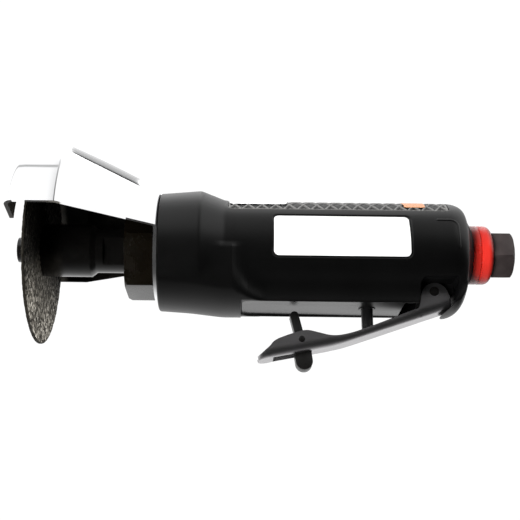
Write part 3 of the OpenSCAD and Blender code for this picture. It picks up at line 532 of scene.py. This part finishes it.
def keeledR(x, down, r):  # adds the keel, its rails and the flat strip to a radius
    s = sleeve
    top = keelR(x)
    wall = along(s["keelHalf"], x) / max(abs(sin(down)), 1e-4)
    keel = sMin(top, wall, along(s["keelRound"], x))
    part = ease(x, bootStart, s["front"] + s["keelIn"]) * ease(s["rim"] - x, 0, s["keelOut"])
    fillet = min(s["fillet"], max(top - r, 0.0)) * part
    r = sMax(r, keel, s["crease"] + fillet) if keel > r - s["keelDeep"] else r
    r = min(r, top) if part < s["keelLeast"] else r
    if s["flatFront"] - 2 * s["flatStep"] < x < s["flatRear"]:
        level = sMin(r, s["rail"] / cos(down), s["flatRound"])
        r += (level - r) * ease(x, s["flatFront"] - s["flatStep"], s["flatFront"] + s["flatStep"])
        deep = along(s["flat"], x)
        d = roundBox(x, (deep + s["rail"]) / 2 * tan(down), s["flatFront"], s["flatRear"] + s["flatPast"],
                     -s["railHalf"], s["railHalf"], s["flatCorner"])
        r += (min(r, deep / cos(down)) - r) * ease(-d, -s["flatEdge"], s["flatEdge"])
    return r


def sleeveR(x, turn):
    s = sleeve
    down = radians(turn + 90)  # angle from straight down
    below = min(turn + 90, 270 - turn)
    trail = s["bootTrail"] * max(s["trailFrom"] - below, 0.0)
    r = waistR(max(x - trail, s["bootEnd"]) if s["bootEnd"] < x < s["trailEnd"] else x)
    if cos(down) > s["keelFrom"]:
        r = keeledR(x, down, r)
    arc = radians(turn) * s["waist"]
    a, b = [radians(t) * s["waist"] for t in s["labelTurn"]]
    d = roundBox(x, arc, s["labelX"][0] - s["labelGap"], s["labelX"][1] + s["labelGap"],
                 a - s["labelGap"], b + s["labelGap"], s["labelCorner"] + s["labelGap"])
    r -= s["labelDepth"] * ease(-d, -s["labelEdge"], s["labelEdge"])
    a, b = [radians(t) * s["waist"] for t in s["treadTurn"]]
    d = roundBox(x, arc, s["treadX"][0], s["treadX"][1], a, b, s["treadCorner"])
    return r - s["treadDepth"] * ease(-d, *s["treadEdge"])


def buildSleeve():
    s = sleeve
    bands = list(s["bandsX"])
    for (x0, x1), (out, into, step) in ((s["treadX"], s["treadMesh"]), (s["labelX"], s["labelMesh"])):
        bands += [(x0 - out, x0 + into, step), (x1 - into, x1 + out, step)]
    xs = [s["front"] + s["bootEdge"] * (1 - cos(radians(a))) for a in range(0, 90, 11)]
    xs += stations(bootStart, keelEnd, s["stepX"], bands)
    xs += [s["rim"] - s["keelLen"] * (1 - sin(radians(a))) for a in range(4, 91, 4)]
    turns = stations(-90, 270, s["stepTurn"], s["bandsTurn"])[:-1]
    rows = [[around(x, sleeveR(x, t), t) for t in turns] for x in xs]
    for x, r in ((s["rim"], s["coverBore"] + s["coverEdge"]), (s["rim"] - s["coverEdge"], s["coverBore"]),
                 (s["coverSeat"], s["coverBore"]), (s["coverSeat"], s["bore"]),
                 (s["front"] + s["boreEdge"], s["bore"]), (s["front"], s["bore"] + s["boreEdge"])):
        rows.append([around(x, r, t) for t in turns])
    verts = [v for row in rows for v in row]
    skin = addPiece("gripSleeve", verts, gridFaces(len(rows), len(turns), True, True), [finishes["grip"]],
                    "tool_body", ["grip_sleeve"])
    turnOutward(skin.data)
    cutPocket(skin)
    return skin


# lever pocket, its bay and the valve hole, cut into the sleeve with rounded rims
pocket = {
    "deep": -46.0, "top": (-23.44, -13.7), "corner": (-34.5, -16.7), "cornerR": 3.0,
    "cheek": [(-37.5, -21.4), (-38.5, -23.4)], "farShift": 3.6, "near": (-30.0, 0.5), "far": (-0.5, 30.0),
    "pivot": (-31.2, -17.4), "heelR": 8.95, "heelTurn": (-76, 22),
    "bayX": (-43.3, -31.0), "bayTop": -8.0, "bayHalf": 9.0,
    "valveX": -56.8, "valveR": 3.35, "valveZ": -26.0, "valveLen": 24.0,
    "bevel": 0.4, "rimAngle": 38, "merge": 0.02, "slivers": 0.05, "sharp": 50, "flatNormal": -0.98, "flatNear": 0.12,
}


def pocketOutline(shift):  # the cheek on the far side reaches further back
    k = pocket
    heel = arcPoints(k["pivot"], k["heelR"], *k["heelTurn"], 16)
    x, z = k["corner"]
    outline = [k["top"]] + arcPoints((x + shift, z), k["cornerR"], 90, 180, 8)
    outline += [(x + shift, z) for x, z in k["cheek"]] + [(k["cheek"][-1][0] + shift, k["deep"])]
    return outline + [(heel[0][0], k["deep"])] + heel


def pocketCutter():
    k = pocket
    front, rear = k["bayX"]
    bay = [(front, k["bayTop"]), (front, k["deep"]), (rear, k["deep"]), (rear, k["bayTop"])]
    bm = bmesh.new()
    for outline, (y0, y1) in ((pocketOutline(0.0), k["near"]), (pocketOutline(k["farShift"]), k["far"]),
                              (bay, (-k["bayHalf"], k["bayHalf"]))):
        sides = [[bm.verts.new((x * mm, y * mm, z * mm)) for x, z in outline] for y in (y0, y1)]
        bm.faces.new(sides[0])
        bm.faces.new(list(reversed(sides[1])))
        for i in range(len(outline)):
            n = (i + 1) % len(outline)
            bm.faces.new((sides[0][n], sides[0][i], sides[1][i], sides[1][n]))
    hole = bmesh.ops.create_cone(bm, cap_ends=True, segments=64, radius1=k["valveR"] * mm,
                                 radius2=k["valveR"] * mm, depth=k["valveLen"] * mm)
    bmesh.ops.translate(bm, verts=hole["verts"], vec=(k["valveX"] * mm, 0, k["valveZ"] * mm))
    bmesh.ops.recalc_face_normals(bm, faces=bm.faces)
    cutter = addObject("pocketCutter", meshOf(bm, "pocketCutter"))
    cutter.data.materials.append(finishes["pocket"])
    return cutter


def cutPocket(skin):
    s, k = sleeve, pocket
    cutter = pocketCutter()
    mod = skin.modifiers.new("pocket", "BOOLEAN")
    mod.operation, mod.object, mod.solver, mod.use_self = "DIFFERENCE", cutter, "EXACT", True
    mod.material_mode = "TRANSFER"
    cut = bpy.data.meshes.new_from_object(skin.evaluated_get(bpy.context.evaluated_depsgraph_get()))
    skin.modifiers.remove(mod)
    bpy.data.objects.remove(cutter)
    names = [mat.name for mat in cut.materials]
    wall = names.index(finishes["pocket"].name)
    bm = bmesh.new()
    bm.from_mesh(cut)
    bmesh.ops.remove_doubles(bm, verts=bm.verts, dist=k["merge"] * mm)
    bmesh.ops.dissolve_degenerate(bm, edges=bm.edges, dist=k["slivers"] * mm)
    rims = [e for e in bm.edges if len(e.link_faces) == 2 and e.calc_face_angle(0) > radians(k["rimAngle"])
            and wall in [f.material_index for f in e.link_faces]]
    bmesh.ops.bevel(bm, geom=rims, offset=k["bevel"] * mm, segments=3, profile=0.5, affect="EDGES",
                    clamp_overlap=True)
    bm.to_mesh(cut)
    bm.free()
    old = skin.data
    skin.data = cut
    bpy.data.meshes.remove(old)
    cut.materials.append(finishes["flat"])
    for face in cut.polygons:
        x, y, z = face.center / mm
        level = abs(z + along(s["flat"], x)) < k["flatNear"]
        if level and face.normal.z < k["flatNormal"] and abs(y) < s["railHalf"]:
            face.material_index = len(names)
    cut.shade_smooth()
    cut.set_sharp_from_angle(angle=radians(k["sharp"]))


gripSleeve = buildSleeve()
print("sleeve:", len(gripSleeve.data.polygons), "faces")


# diamond tread let into the top of the sleeve
tread = {"pitches": 16, "rings": 4, "cells": 20, "top": 20.52, "floor": 19.95, "play": (0.02, 0.05),
         "pillow": 0.16, "pillowEdge": (0.5, 2.2), "ridge": 0.40, "ridgeEdge": (0.55, 1.7),
         "border": 0.85, "borderEdge": (0.75, 1.5), "margin": 0.25, "sink": 0.55}


def buildTread():
    s, t = sleeve, tread
    x0, x1 = s["treadX"][0] + t["play"][0], s["treadX"][1] - t["play"][0]
    a0, a1 = s["treadTurn"][0] + t["play"][1], s["treadTurn"][1] - t["play"][1]
    nx, na = t["pitches"] * t["cells"], t["rings"] * t["cells"]
    pitch = (x1 - x0) / t["pitches"]
    ring = radians(a1 - a0) * s["waist"] / t["rings"]
    apart = pitch * ring / hypot(pitch, ring)  # distance between parallel ridges
    verts, lift = [], []
    for i in range(nx + 1):
        for j in range(na + 1):
            u, v = i / t["cells"], j / t["cells"]
            near = min(abs(c - round(c)) * apart for c in (u + v, u - v))
            edge = min(min(i / nx, 1 - i / nx) * (x1 - x0), min(j / na, 1 - j / na) * ring * t["rings"])
            h = 1 - ease(near, *[t["ridge"] * k for k in t["ridgeEdge"]])
            h = max(h, 1 - ease(edge, *[t["border"] * k for k in t["borderEdge"]]))
            low = 1 - ease(edge, 0.0, t["margin"])
            pillow = t["pillow"] * ease(near, *t["pillowEdge"])
            r = t["floor"] + pillow + (t["top"] - t["floor"] - pillow) * h - t["sink"] * low
            verts.append(around(x0 + (x1 - x0) * i / nx, r, a0 + (a1 - a0) * j / na))
            lift.append(h * (1 - low))
    piece = addPiece("gripTread", verts, gridFaces(nx + 1, na + 1), [finishes["tread"]], "tool_body",
                     sharp=60)
    piece.data.attributes.new("ridge", "FLOAT", "POINT").data.foreach_set("value", lift)


buildTread()
print("tread done")


# labels: thin curved plates, left blank
labels = {
    "sideLabel": {"x": (-94.0, -41.9), "turn": (-22.0, 25.4), "r": 20.33, "thick": 0.16, "corner": 1.8,
                  "lean": 0.35, "mat": "label"},
    "topLabel": {"x": (-111.3, -88.6), "turn": (50.5, 129.5), "r": 20.64, "thick": 0.14, "corner": 1.6,
                 "lean": 0.0, "mat": "label"},
    "dateLabel": {"x": (-42.6, -34.4), "turn": (45.0, 78.0), "r": 20.64, "thick": 0.14, "corner": 0.8,
                  "lean": 0.0, "mat": "orange"},
}
labelStrips = 40


def buildLabel(name, look):
    (x0, x1), r, c = look["x"], look["r"], look["corner"]
    y0, y1 = [radians(t) * r for t in look["turn"]]
    outline = []
    for cx, cy, start in ((x1 - c, y1 - c, 0), (x0 + c, y1 - c, 90), (x0 + c, y0 + c, 180), (x1 - c, y0 + c, 270)):
        outline += arcPoints((cx, cy), c, start, start + 90, 6)
    bm = bmesh.new()
    flat = bm.faces.new([bm.verts.new((x, y, 0)) for x, y in outline])
    bmesh.ops.triangulate(bm, faces=[flat])
    for k in range(1, labelStrips):  # cut into strips so that it bends round the grip
        y = y0 + (y1 - y0) * k / labelStrips
        bmesh.ops.bisect_plane(bm, geom=bm.verts[:] + bm.edges[:] + bm.faces[:], plane_co=(0, y, 0),
                               plane_no=(0, 1, 0))
    across = [e for e in bm.edges if len(e.link_faces) == 2 and abs(e.verts[0].co.y - e.verts[1].co.y) > 1e-5]
    bmesh.ops.dissolve_limit(bm, angle_limit=0.001, verts=[], edges=across)
    rim = [e for e in bm.edges if len(e.link_faces) == 1]
    lower = bmesh.ops.extrude_edge_only(bm, edges=rim)
    for v in [g for g in lower["geom"] if isinstance(g, bmesh.types.BMVert)]:
        v.co.z -= look["thick"]
    for v in bm.verts:
        x, y, z = v.co
        x -= look["lean"] * (y / (y1 - y0)) if x > (x0 + x1) / 2 else 0
        v.co = around(x, r + z, degrees(y / r))
    bmesh.ops.recalc_face_normals(bm, faces=bm.faces)
    mesh = meshOf(bm, name)
    mesh.materials.append(finishes[look["mat"]])
    addMesh(name, mesh, "tool_body", sharp=40)


for name, look in labels.items():
    buildLabel(name, look)
print("labels:", len(labels))


# moulded outline beside the rear end
mark = {"path": [(-31.6, 21.6), (-23.2, 21.6), (-23.2, -13.5)], "corner": 3.0, "cornerSteps": 10, "gap": 0.6,
        "wire": 0.34, "widen": 1.5, "sink": 0.08, "taper": 0.2, "arc": (-10, 200), "sides": 8}


def buildMark():
    m, r = mark, sleeve["waist"]
    path = roundPath([(x, radians(t) * r) for x, t in m["path"]], [m["corner"]], m["cornerSteps"])
    line = splitPath(path, m["gap"])
    verts = []
    for k, p in enumerate(line):
        t = heading(line, k)
        side = Vector((-t.y, t.x))
        wire = m["wire"] * (m["taper"] if k in (0, len(line) - 1) else 1)
        for i in range(m["sides"] + 1):
            a = radians(m["arc"][0] + m["arc"][1] * i / m["sides"])
            q = p + side * (cos(a) * wire * m["widen"])
            turn = degrees(q.y / r)
            verts.append(around(q.x, sleeveR(q.x, turn) + sin(a) * wire - m["sink"], turn))
    addPiece("sleeveMark", verts, gridFaces(len(line), m["sides"] + 1), [finishes["grip"]], "tool_body",
             sharp=70)


buildMark()


# wheel guard: one pressed sheet with rounded bends
guard = {"sheet": 1.5, "path": [(-138.85, 16.2), (-138.85, 24.8), (-174.3, 43.6), (-193.1, 43.6), (-193.4, 28.8)],
         "bends": [1.9, 1.4, 4.0], "bendSteps": 10, "gap": 2.2, "turn": (4.4, 179.4), "steps": 132,
         "ringR": 20.0, "ringSteps": 96, "darkEnd": -189.5, "edge": 0.08, "edgeAngle": 60}


def buildGuard():
    g = guard
    outer = splitPath(roundPath(g["path"], g["bends"], g["bendSteps"]), g["gap"])
    loop = outer + offsetPath(outer, g["sheet"])[::-1]
    first, last = g["turn"]
    turns = [first + (last - first) * k / g["steps"] for k in range(g["steps"] + 1)]
    verts = [around(p.x, p.y, t) for t in turns for p in loop]
    n, half = len(loop), len(outer)
    faces, mats = [], []
    for k in range(len(turns) - 1):
        for m in range(n):
            a, b = k * n + m, k * n + (m + 1) % n
            faces.append((a, a + n, b + n, b))
            # faces on the inner side take the dark inside finish: painted shade
            mats.append(1 if half <= m < n - 1 else 0)
    # the cut ends of the sheet along the lip take the dark inside finish too: painted shade
    for base, flip in ((0, False), ((len(turns) - 1) * n, True)):
        for m in range(half - 1):
            quad = (base + m, base + m + 1, base + n - 2 - m, base + n - 1 - m)
            faces.append(quad[::-1] if flip else quad)
            mats.append(1 if outer[m].x < g["darkEnd"] else 0)
    low = [last + (360 - last + first) * k / g["ringSteps"] for k in range(g["ringSteps"] + 1)]
    start = len(verts)
    x, r = g["path"][0]
    section = [(x, r), (x, g["ringR"]), (x - g["sheet"], g["ringR"]), (x - g["sheet"], r)]
    verts += [around(x, r, t) for t in low for x, r in section]
    for f in gridFaces(len(low), 4, False, True):
        faces.append(tuple(start + i for i in f))
        mats.append(0)
    piece = addPiece("wheelGuard", verts, faces, [finishes["chrome"], finishes["inside"]], "guard",
                     ["wheel_guard"], mats, 40)
    turnOutward(piece.data)
    roundEdges(piece, g["edge"], g["edgeAngle"])


buildGuard()
print("guard done")


# cutting disc with a rough face
disc = {"bore": 4.75, "r": 37.5, "front": -186.6, "back": -185.3, "rings": 62, "segments": 300,
        "clampR": 10.8, "clampEdge": 1.5, "rough": 0.24, "lower": 0.04,
        "grains": [(900, 0.6, (0, 0, 0)), (2100, 0.5, (7, 3, 1))],
        "rim": 0.9, "rimDrop": 0.25, "rimChips": 0.22, "rimWear": 0.05}


def buildDisc():
    d = disc
    radii = [d["bore"] + (d["r"] - d["bore"]) * k / d["rings"] for k in range(d["rings"] + 1)]
    profile = [(d["back"], r, 1) for r in radii] + [(d["front"], r, -1) for r in reversed(radii)]
    verts = []
    for x, r, side in profile:
        free = ease(r, d["clampR"], d["clampR"] + d["clampEdge"])
        rim = ease(r, d["r"] - d["rim"], d["r"])
        for k in range(d["segments"]):
            turn = 360 * k / d["segments"]
            p = around(x, r, turn)
            coarse = sum(noise.noise(p * scale + Vector(shift)) * share for scale, share, shift in d["grains"])
            out = free * (d["rough"] * coarse - d["lower"]) - d["rimDrop"] * rim * rim
            verts.append(around(x + side * out, r - d["rimChips"] * rim * abs(coarse) - d["rimWear"] * rim, turn))
    addPiece("cuttingDisc", verts, gridFaces(len(profile), d["segments"], True, True), [finishes["abrasive"]],
             "spindle_assembly", ["cutting_disc"], sharp=60)


buildDisc()
print("disc done")


# throttle lever: pressed channel with rounded bends
lever = {
    "pivot": (-31.2, -17.4), "slope": 19.2, "reach": 74.0, "drop": 7.8, "half": 6.5, "sheet": 1.3,
    "bend": 3.0, "bendShare": 0.8, "least": 0.98, "wallSteps": 6, "bendSteps": 6,
    "ear": (0.3, -1.7, 5.2), "earEnd": 4.71, "heelRound": 1.4, "kinkAt": 42.92, "kinkHalf": 5.18, "kinkRise": 0.14,
    "top": [(4.71, 1.05), (6.35, -1.7), (7.99, -4.13), (9.99, -4.37), (33.3, -5.34), (40.33, -4.84), (44.4, -3.59),
            (48.47, -1.09), (51.8, 0.94), (54.76, 1.56), (63.64, 1.48), (66.23, 0.78), (67.6, -0.15),
            (69.9, -1.15), (72.0, -1.85), (74.0, -2.18)],
    "slotU": (52.7, 67.7), "slotHalf": 3.4, "slotShare": 0.6, "nose": 7.0, "noseFrom": 24.0, "noseSteps": 8,
    "tip": 3.0, "edge": 0.3, "edgeAngle": 55,
    "step": 1.1, "bands": [(4, 11, 0.4), (38, 52, 0.7)], "slotStep": 0.7, "noseStep": 0.45, "noseStart": 2.4,
}


def leverPoint(u, v, y):  # u forward along the floor, v up from it
    s = radians(lever["slope"])
    x = lever["pivot"][0] - u * cos(s) - v * sin(s)
    z = lever["pivot"][1] - u * sin(s) + v * cos(s)
    return Vector((x * mm, y * mm, z * mm))


def leverFloor(u):  # rounded heel, straight floor, then a slow rise
    v = lever
    heel, r, half = v["ear"][0] - v["ear"][2], v["heelRound"], v["kinkHalf"]
    past = u - v["kinkAt"] + half
    if u < heel + r:
        return r - v["drop"] - sqrt(max(r * r - (heel + r - u) ** 2, 0))
    if past <= 0:
        return -v["drop"]
    rise = past * past / (4 * half) if past < 2 * half else past - half
    return v["kinkRise"] * rise - v["drop"]


def leverTop(u):  # round ear, then a smooth curve through the points
    cu, cv, r = lever["ear"]
    if u < lever["earEnd"]:
        return cv + sqrt(max(r * r - (u - cu) ** 2, 0))
    pts = lever["top"]
    for k in range(len(pts) - 1):
        if u <= pts[k + 1][0] + 1e-9:
            (ua, va), (ub, vb) = pts[k], pts[k + 1]
            slopes = []
            for m in (k, k + 1):
                p, q = pts[max(m - 1, 0)], pts[min(m + 1, len(pts) - 1)]
                slopes.append((q[1] - p[1]) / (q[0] - p[0]))
            t, h = (u - ua) / (ub - ua), ub - ua
            return ((2 * t ** 3 - 3 * t * t + 1) * va + (t ** 3 - 2 * t * t + t) * h * slopes[0]
                    + (3 * t * t - 2 * t ** 3) * vb + (t ** 3 - t * t) * h * slopes[1])
    return pts[-1][1]


def leverStations():
    v = lever
    cu, _, r = v["ear"]
    lo, hi = v["slotU"]
    round0 = v["reach"] - v["nose"]
    us = [cu - r + r * (1 - cos(radians(a))) for a in range(4, 90, 6)]
    us += [cu + r * sin(radians(a)) for a in range(0, 57, 6)]
    us += stations(v["earEnd"], lo, v["step"], v["bands"])
    us += stations(lo, hi, v["slotStep"], [])[1:]
    us += stations(hi, round0 + v["noseStart"], v["noseStep"], [])[1:]
    start, end, n = v["noseFrom"], degrees(acos(v["tip"] / v["nose"])), v["noseSteps"]
    return us + [round0 + v["nose"] * sin(radians(start + (end - start) * k / n)) for k in range(n + 1)]


def leverSection(u):  # (y, height) from one rim round the floor to the other
    v = lever
    f, t = leverFloor(u), leverTop(u)
    t = max(t, f + v["sheet"] * v["least"])
    half, past = v["half"], u - v["reach"] + v["nose"]
    if past > 0:
        half = min(half, max(sqrt(max(v["nose"] ** 2 - past ** 2, 0)), v["tip"]))
    b = min(v["bend"], (t - f) * v["bendShare"])
    slot = min(v["slotHalf"], half * v["slotShare"])
    side = [(half, t + (f + b - t) * k / v["wallSteps"]) for k in range(v["wallSteps"])]
    side += [(half - b + b * cos(radians(a)), f + b - b * sin(radians(a)))
             for a in [90 * k / v["bendSteps"] for k in range(v["bendSteps"] + 1)]]
    return [(-y, z) for y, z in side] + [(-slot, f), (0, f), (slot, f)] + side[::-1]


def buildLever():
    v = lever
    us = leverStations()
    verts = [leverPoint(u, z, y) for u in us for y, z in leverSection(u)]
    middle = v["wallSteps"] + v["bendSteps"] + 1
    lo, hi = v["slotU"]

    def inSlot(i, j):
        return j in (middle, middle + 1) and lo - 1e-6 <= us[i] and us[i + 1] <= hi + 1e-6

    piece = addPiece("throttleLever", verts, gridFaces(len(us), 2 * middle + 3, skip=inSlot),
                     [finishes["lever"], finishes["leverShadedInside"]], "lever", ["throttle_lever"],
                     sharp=45)
    turnOutward(piece.data, lambda bm: sum(f.normal.y * f.calc_center_median().y for f in bm.faces) >= 0)
    thick = piece.modifiers.new("sheet", "SOLIDIFY")
    # the inner side of the sheet takes the dark copy of the nickel: painted shade
    thick.thickness, thick.offset, thick.material_offset = v["sheet"] * mm, -1, 1
    roundEdges(piece, v["edge"], v["edgeAngle"])


buildLever()
print("lever done")


# small turned and moulded pieces: CAD shapes with rounded edges, (node, name, finish, body, slot, bevel, pin ends)
soft = {"merge": 2e-6, "flat": 0.4, "angle": 28.0, "steps": 2, "sharp": 32.0}
softPieces = [
    ("outer_flange", "outerFlange", "spindle", "spindle_assembly", "black_oxide_steel", 0.25),
    ("clamp_screw", "clampScrew", "spindle", "spindle_assembly", "black_oxide_steel", 0.8),
    ("spindle", "spindleNose", "spindle", "spindle_assembly", "black_oxide_steel", 0.35),
    ("clamp_nut", "clampNut", "nut", "tool_body", "black_oxide_steel", 0.9),
    ("rear_cover", "rearCover", "cover", "tool_body", "cover_plastic", 0.25),
    ("lever_pin", "leverPin", "pin", "tool_body", "black_oxide_steel", 0.3, 0.35),
    ("catch_pin", "catchPin", "pin", "lever", "black_oxide_steel", 0.2, 0.22),
    ("safety_catch", "safetyCatch", "catch", "catch", "catch_plastic", 0.5),
    ("valve_bush", "valveBush", "stem", "tool_body", "bearing_brass", 0.2),
    ("valve_stem", "valveStem", "stem", "valve", "stem_black", 0.2),
    ("air_inlet", "airInlet", "inlet", "tool_body", "inlet_steel", 0.35),
    ("exhaust_deflector", "exhaustDeflector", "red", "deflector", "deflector_red", 0.22),
]


def softNode(node, name, mat, body, slot, bevel, proud=0.0):
    bm = bmesh.new()
    bm.from_mesh(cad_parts[node].data)
    bmesh.ops.remove_doubles(bm, verts=bm.verts, dist=soft["merge"])
    bmesh.ops.dissolve_limit(bm, angle_limit=radians(soft["flat"]), verts=bm.verts, edges=bm.edges)
    for v in bm.verts:  # ends of a cross pin that stand out of its hole
        v.co.y += copysign(proud * mm, v.co.y)
    edges = [e for e in bm.edges if len(e.link_faces) == 2 and e.calc_face_angle(0) > radians(soft["angle"])]
    bmesh.ops.bevel(bm, geom=edges, offset=bevel * mm, segments=soft["steps"], profile=0.5, affect="EDGES",
                    clamp_overlap=True)
    bmesh.ops.triangulate(bm, faces=[f for f in bm.faces if len(f.verts) > 4])
    mesh = meshOf(bm, name)
    mesh.materials.clear()
    mesh.materials.append(finishes[mat])
    mesh.polygons.foreach_set("material_index", [0] * len(mesh.polygons))
    addMesh(name, mesh, body, [node], soft["sharp"])


for row in softPieces:
    softNode(*row)
print("soft pieces:", len(softPieces))


# finishes of the CAD nodes that stay
kept = {
    "spacer": ["front_spacer"],
    "steel": ["front_bearing_outer", "front_bearing_inner", "front_bearing_balls",
              "rear_bearing_outer", "rear_bearing_inner", "rear_bearing_balls", "liner_pin", "catch_spring",
              "valve_spring", "inlet_screen", "rotor", "cylinder_liner"],
    "brass": ["front_bearing_cage", "rear_bearing_cage"],
    "felt": ["front_seal", "silencer_felt"],
    "iron": ["front_end_plate", "rear_end_plate"],
    "resin": ["rotor_vanes", "rear_gasket"],
    "housing": ["motor_housing"],
    "rubber": ["valve_o_ring", "inlet_o_ring"],
}
for mat, nodes in kept.items():
    for node in nodes:
        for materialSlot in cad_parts[node].material_slots:
            materialSlot.material = finishes[mat]
print("kept nodes:", sum(len(nodes) for nodes in kept.values()))


# studio
studio = {
    "camera": (-107.0, -359.0, -130.7), "aim": (-107.0, 0.0, 0.0), "lens": 65.8, "sensor": 36.0,
    "shift": (0.0385, -0.0142), "roll": 0.7, "clip": (0.01, 20.0),
    "floorZ": -0.30, "floorSize": 3.0, "paper": (0.80, 0.84), "paperRough": 0.85, "paperGlow": 0.5,
    # brightness of the room by angle: 0 to the front, 90 overhead, 180 behind, -90 below
    "room": [(-180, 1.12), (-150, 1.10), (-140, 0.95), (-131, 0.80), (-118, 0.58), (-107, 0.36), (-97, 0.24),
             (-88, 0.15), (-70, 0.035), (-50, 0.008), (0, 0.008), (20, 0.015), (31, 0.10), (48, 0.21), (70, 0.41),
             (84, 0.72), (98, 1.7), (115, 2.6), (132, 1.5), (180, 1.05)],
    # bright sides above, dark right side below, a slanted panel over the back and a thin beam at the left
    "left": (0.10, 0.22), "right": (0.27, 0.42), "sidesFrom": (18, 30), "sidesTone": 1.11,
    "lowRight": (0.40, 0.62), "lowFrom": (-80, -95), "lowTone": 0.03,
    "panel": {"from": 112.0, "across": 0.243, "slant": 3.17, "half": 0.046, "depth": (14.0, 250.0),
              "borders": (0.9, 0.0005, 0.99),
              "tones": [(0, 0.05), (0.13, 0.05), (0.22, 0.40), (0.5, 0.56), (0.8, 0.78), (1, 1.0)]},
    "beam": {"at": 76.5, "half": 3.4, "side": (0.15, 0.18), "tone": 0.25, "strength": 0.85},
    "backdrop": 1.05, "fill": 0.13,  # seen by the camera, and the room's share for matt surfaces
    "spotBlend": 0.3, "spotSoft": 0.01,
    "lamps": {
        "keySoftbox": {"at": (-0.34, -0.36, -0.27), "aim": (-0.01, 0, 0), "size": 0.25, "power": 6.6},
        "topSoftbox": {"at": (-0.44, -0.40, 0.22), "aim": (-0.02, 0, 0), "size": 0.25, "power": 4.2},
        "backSoftbox": {"at": (-0.55, 0.55, 0.42), "aim": (-0.10, 0, 0), "size": 0.5, "power": 8.0},
        "discSpot": {"at": (0.10, -0.33, -0.12), "aim": (-0.186, 0.0, -0.0375), "cone": 7.2, "power": 17.0},
    },
}


def buildCamera():
    st = studio
    cam = addObject("camera", bpy.data.cameras.new("camera"))
    eye, aim = Vector(st["camera"]) * mm, Vector(st["aim"]) * mm
    look = (aim - eye).to_track_quat("-Z", "Y").to_matrix().to_4x4()
    cam.matrix_world = Matrix.Translation(eye) @ look @ Matrix.Rotation(radians(st["roll"]), 4, "Z")
    cam.data.lens, cam.data.sensor_width = st["lens"], st["sensor"]
    cam.data.shift_x, cam.data.shift_y = st["shift"]
    cam.data.clip_start, cam.data.clip_end = st["clip"]
    bpy.context.scene.camera = cam


def floorPaper(w):
    tone = speckle(w, place(w), 40, 3)
    return surface(w, {
        "Base Color": tone.blend(*[rgb(c) for c in studio["paper"]]), "Roughness": studio["paperRough"],
        "Emission Color": rgb(1.0), "Emission Strength": studio["paperGlow"]})


def buildFloor():
    bm = bmesh.new()
    bmesh.ops.create_grid(bm, x_segments=8, y_segments=8, size=studio["floorSize"])
    floor = addObject("floor", meshOf(bm, "floor"))
    floor.location.z = studio["floorZ"]
    floor.visible_glossy = floor.visible_diffuse = False
    floor.data.materials.append(finish("floorPaper", floorPaper))


def circle(angle):  # share of the full circle, from behind over the front
    return 0.5 + angle / 360


def roomTone(w):  # colour of the room that the pieces mirror
    st = studio
    x, y, z = axes(w, w.make("ShaderNodeTexCoord", out="Generated"), "XYZ")
    lift = w.math("ARCTAN2", z, y * -1) * (0.5 / pi) + 0.5
    tone = w.make("ShaderNodeValToRGB", {"stops": [(circle(a), rgb(c)) for a, c in st["room"]]}, {0: lift})
    sides = w.math("MAXIMUM", (x * -1).span(*st["left"]), x.span(*st["right"]))
    sides = sides * lift.span(*[circle(a) for a in st["sidesFrom"]])
    tone = sides.blend(tone, rgb(st["sidesTone"]))
    low = x.span(*st["lowRight"]) * lift.span(*[circle(a) for a in st["lowFrom"]])
    tone = low.blend(tone, rgb(st["lowTone"]))
    beam = st["beam"]
    band = w.math("ABSOLUTE", lift - circle(beam["at"])).span(beam["half"] / 360, 0.0)
    tone = ((x * -1).span(*beam["side"]) * band * beam["strength"]).blend(tone, rgb(beam["tone"]))
    card = st["panel"]
    past = lift - circle(card["from"])
    offset = x + past * card["slant"] - card["across"]
    depth = (offset + card["half"]) * card["depth"][1] + card["depth"][0]
    fade = w.math("DIVIDE", past * 360, depth)
    side, start, end = card["borders"]
    over = w.math("ABSOLUTE", offset).span(card["half"], card["half"] * side) * past.span(-start, start)
    shade = w.make("ShaderNodeValToRGB", {"stops": [(t, rgb(c)) for t, c in card["tones"]]}, {0: fade})
    return (over * fade.span(1.0, end)).blend(tone, shade)


def buildWorld():
    st = studio
    world = bpy.data.worlds.new("studio")
    bpy.context.scene.world = world
    world.use_nodes = True
    world.node_tree.nodes.clear()
    w = Wire(world.node_tree)
    tone = roomTone(w)
    white = w.make("ShaderNodeBackground", feed={"Color": rgb(1.0), "Strength": st["backdrop"]})
    bright = w.make("ShaderNodeBackground", feed={"Color": tone, "Strength": 1.0})
    dim = w.make("ShaderNodeBackground", feed={"Color": tone, "Strength": st["fill"]})
    matt = w.make("ShaderNodeLightPath", out="Is Diffuse Ray")
    seen = w.make("ShaderNodeLightPath", out="Is Camera Ray")
    room = w.make("ShaderNodeMixShader", feed={0: matt, 1: bright, 2: dim})
    shown = w.make("ShaderNodeMixShader", feed={0: seen, 1: room, 2: white})
    w.make("ShaderNodeOutputWorld", feed={"Surface": shown})


def buildLamps():
    st = studio
    for name, look in st["lamps"].items():
        light = bpy.data.lights.new(name, "SPOT" if "cone" in look else "AREA")
        light.energy = look["power"]
        if "cone" in look:
            light.spot_size, light.spot_blend = radians(look["cone"]), st["spotBlend"]
            light.shadow_soft_size = st["spotSoft"]
        else:
            light.size = look["size"]
        lamp = addObject(name, light)
        lamp.location = look["at"]
        lamp.rotation_euler = (Vector(look["aim"]) - Vector(look["at"])).to_track_quat("-Z", "Y").to_euler()
        lamp.visible_glossy = False


buildCamera()
buildFloor()
buildWorld()
buildLamps()
bpy.context.scene.view_settings.view_transform = "Standard"
print("studio done")
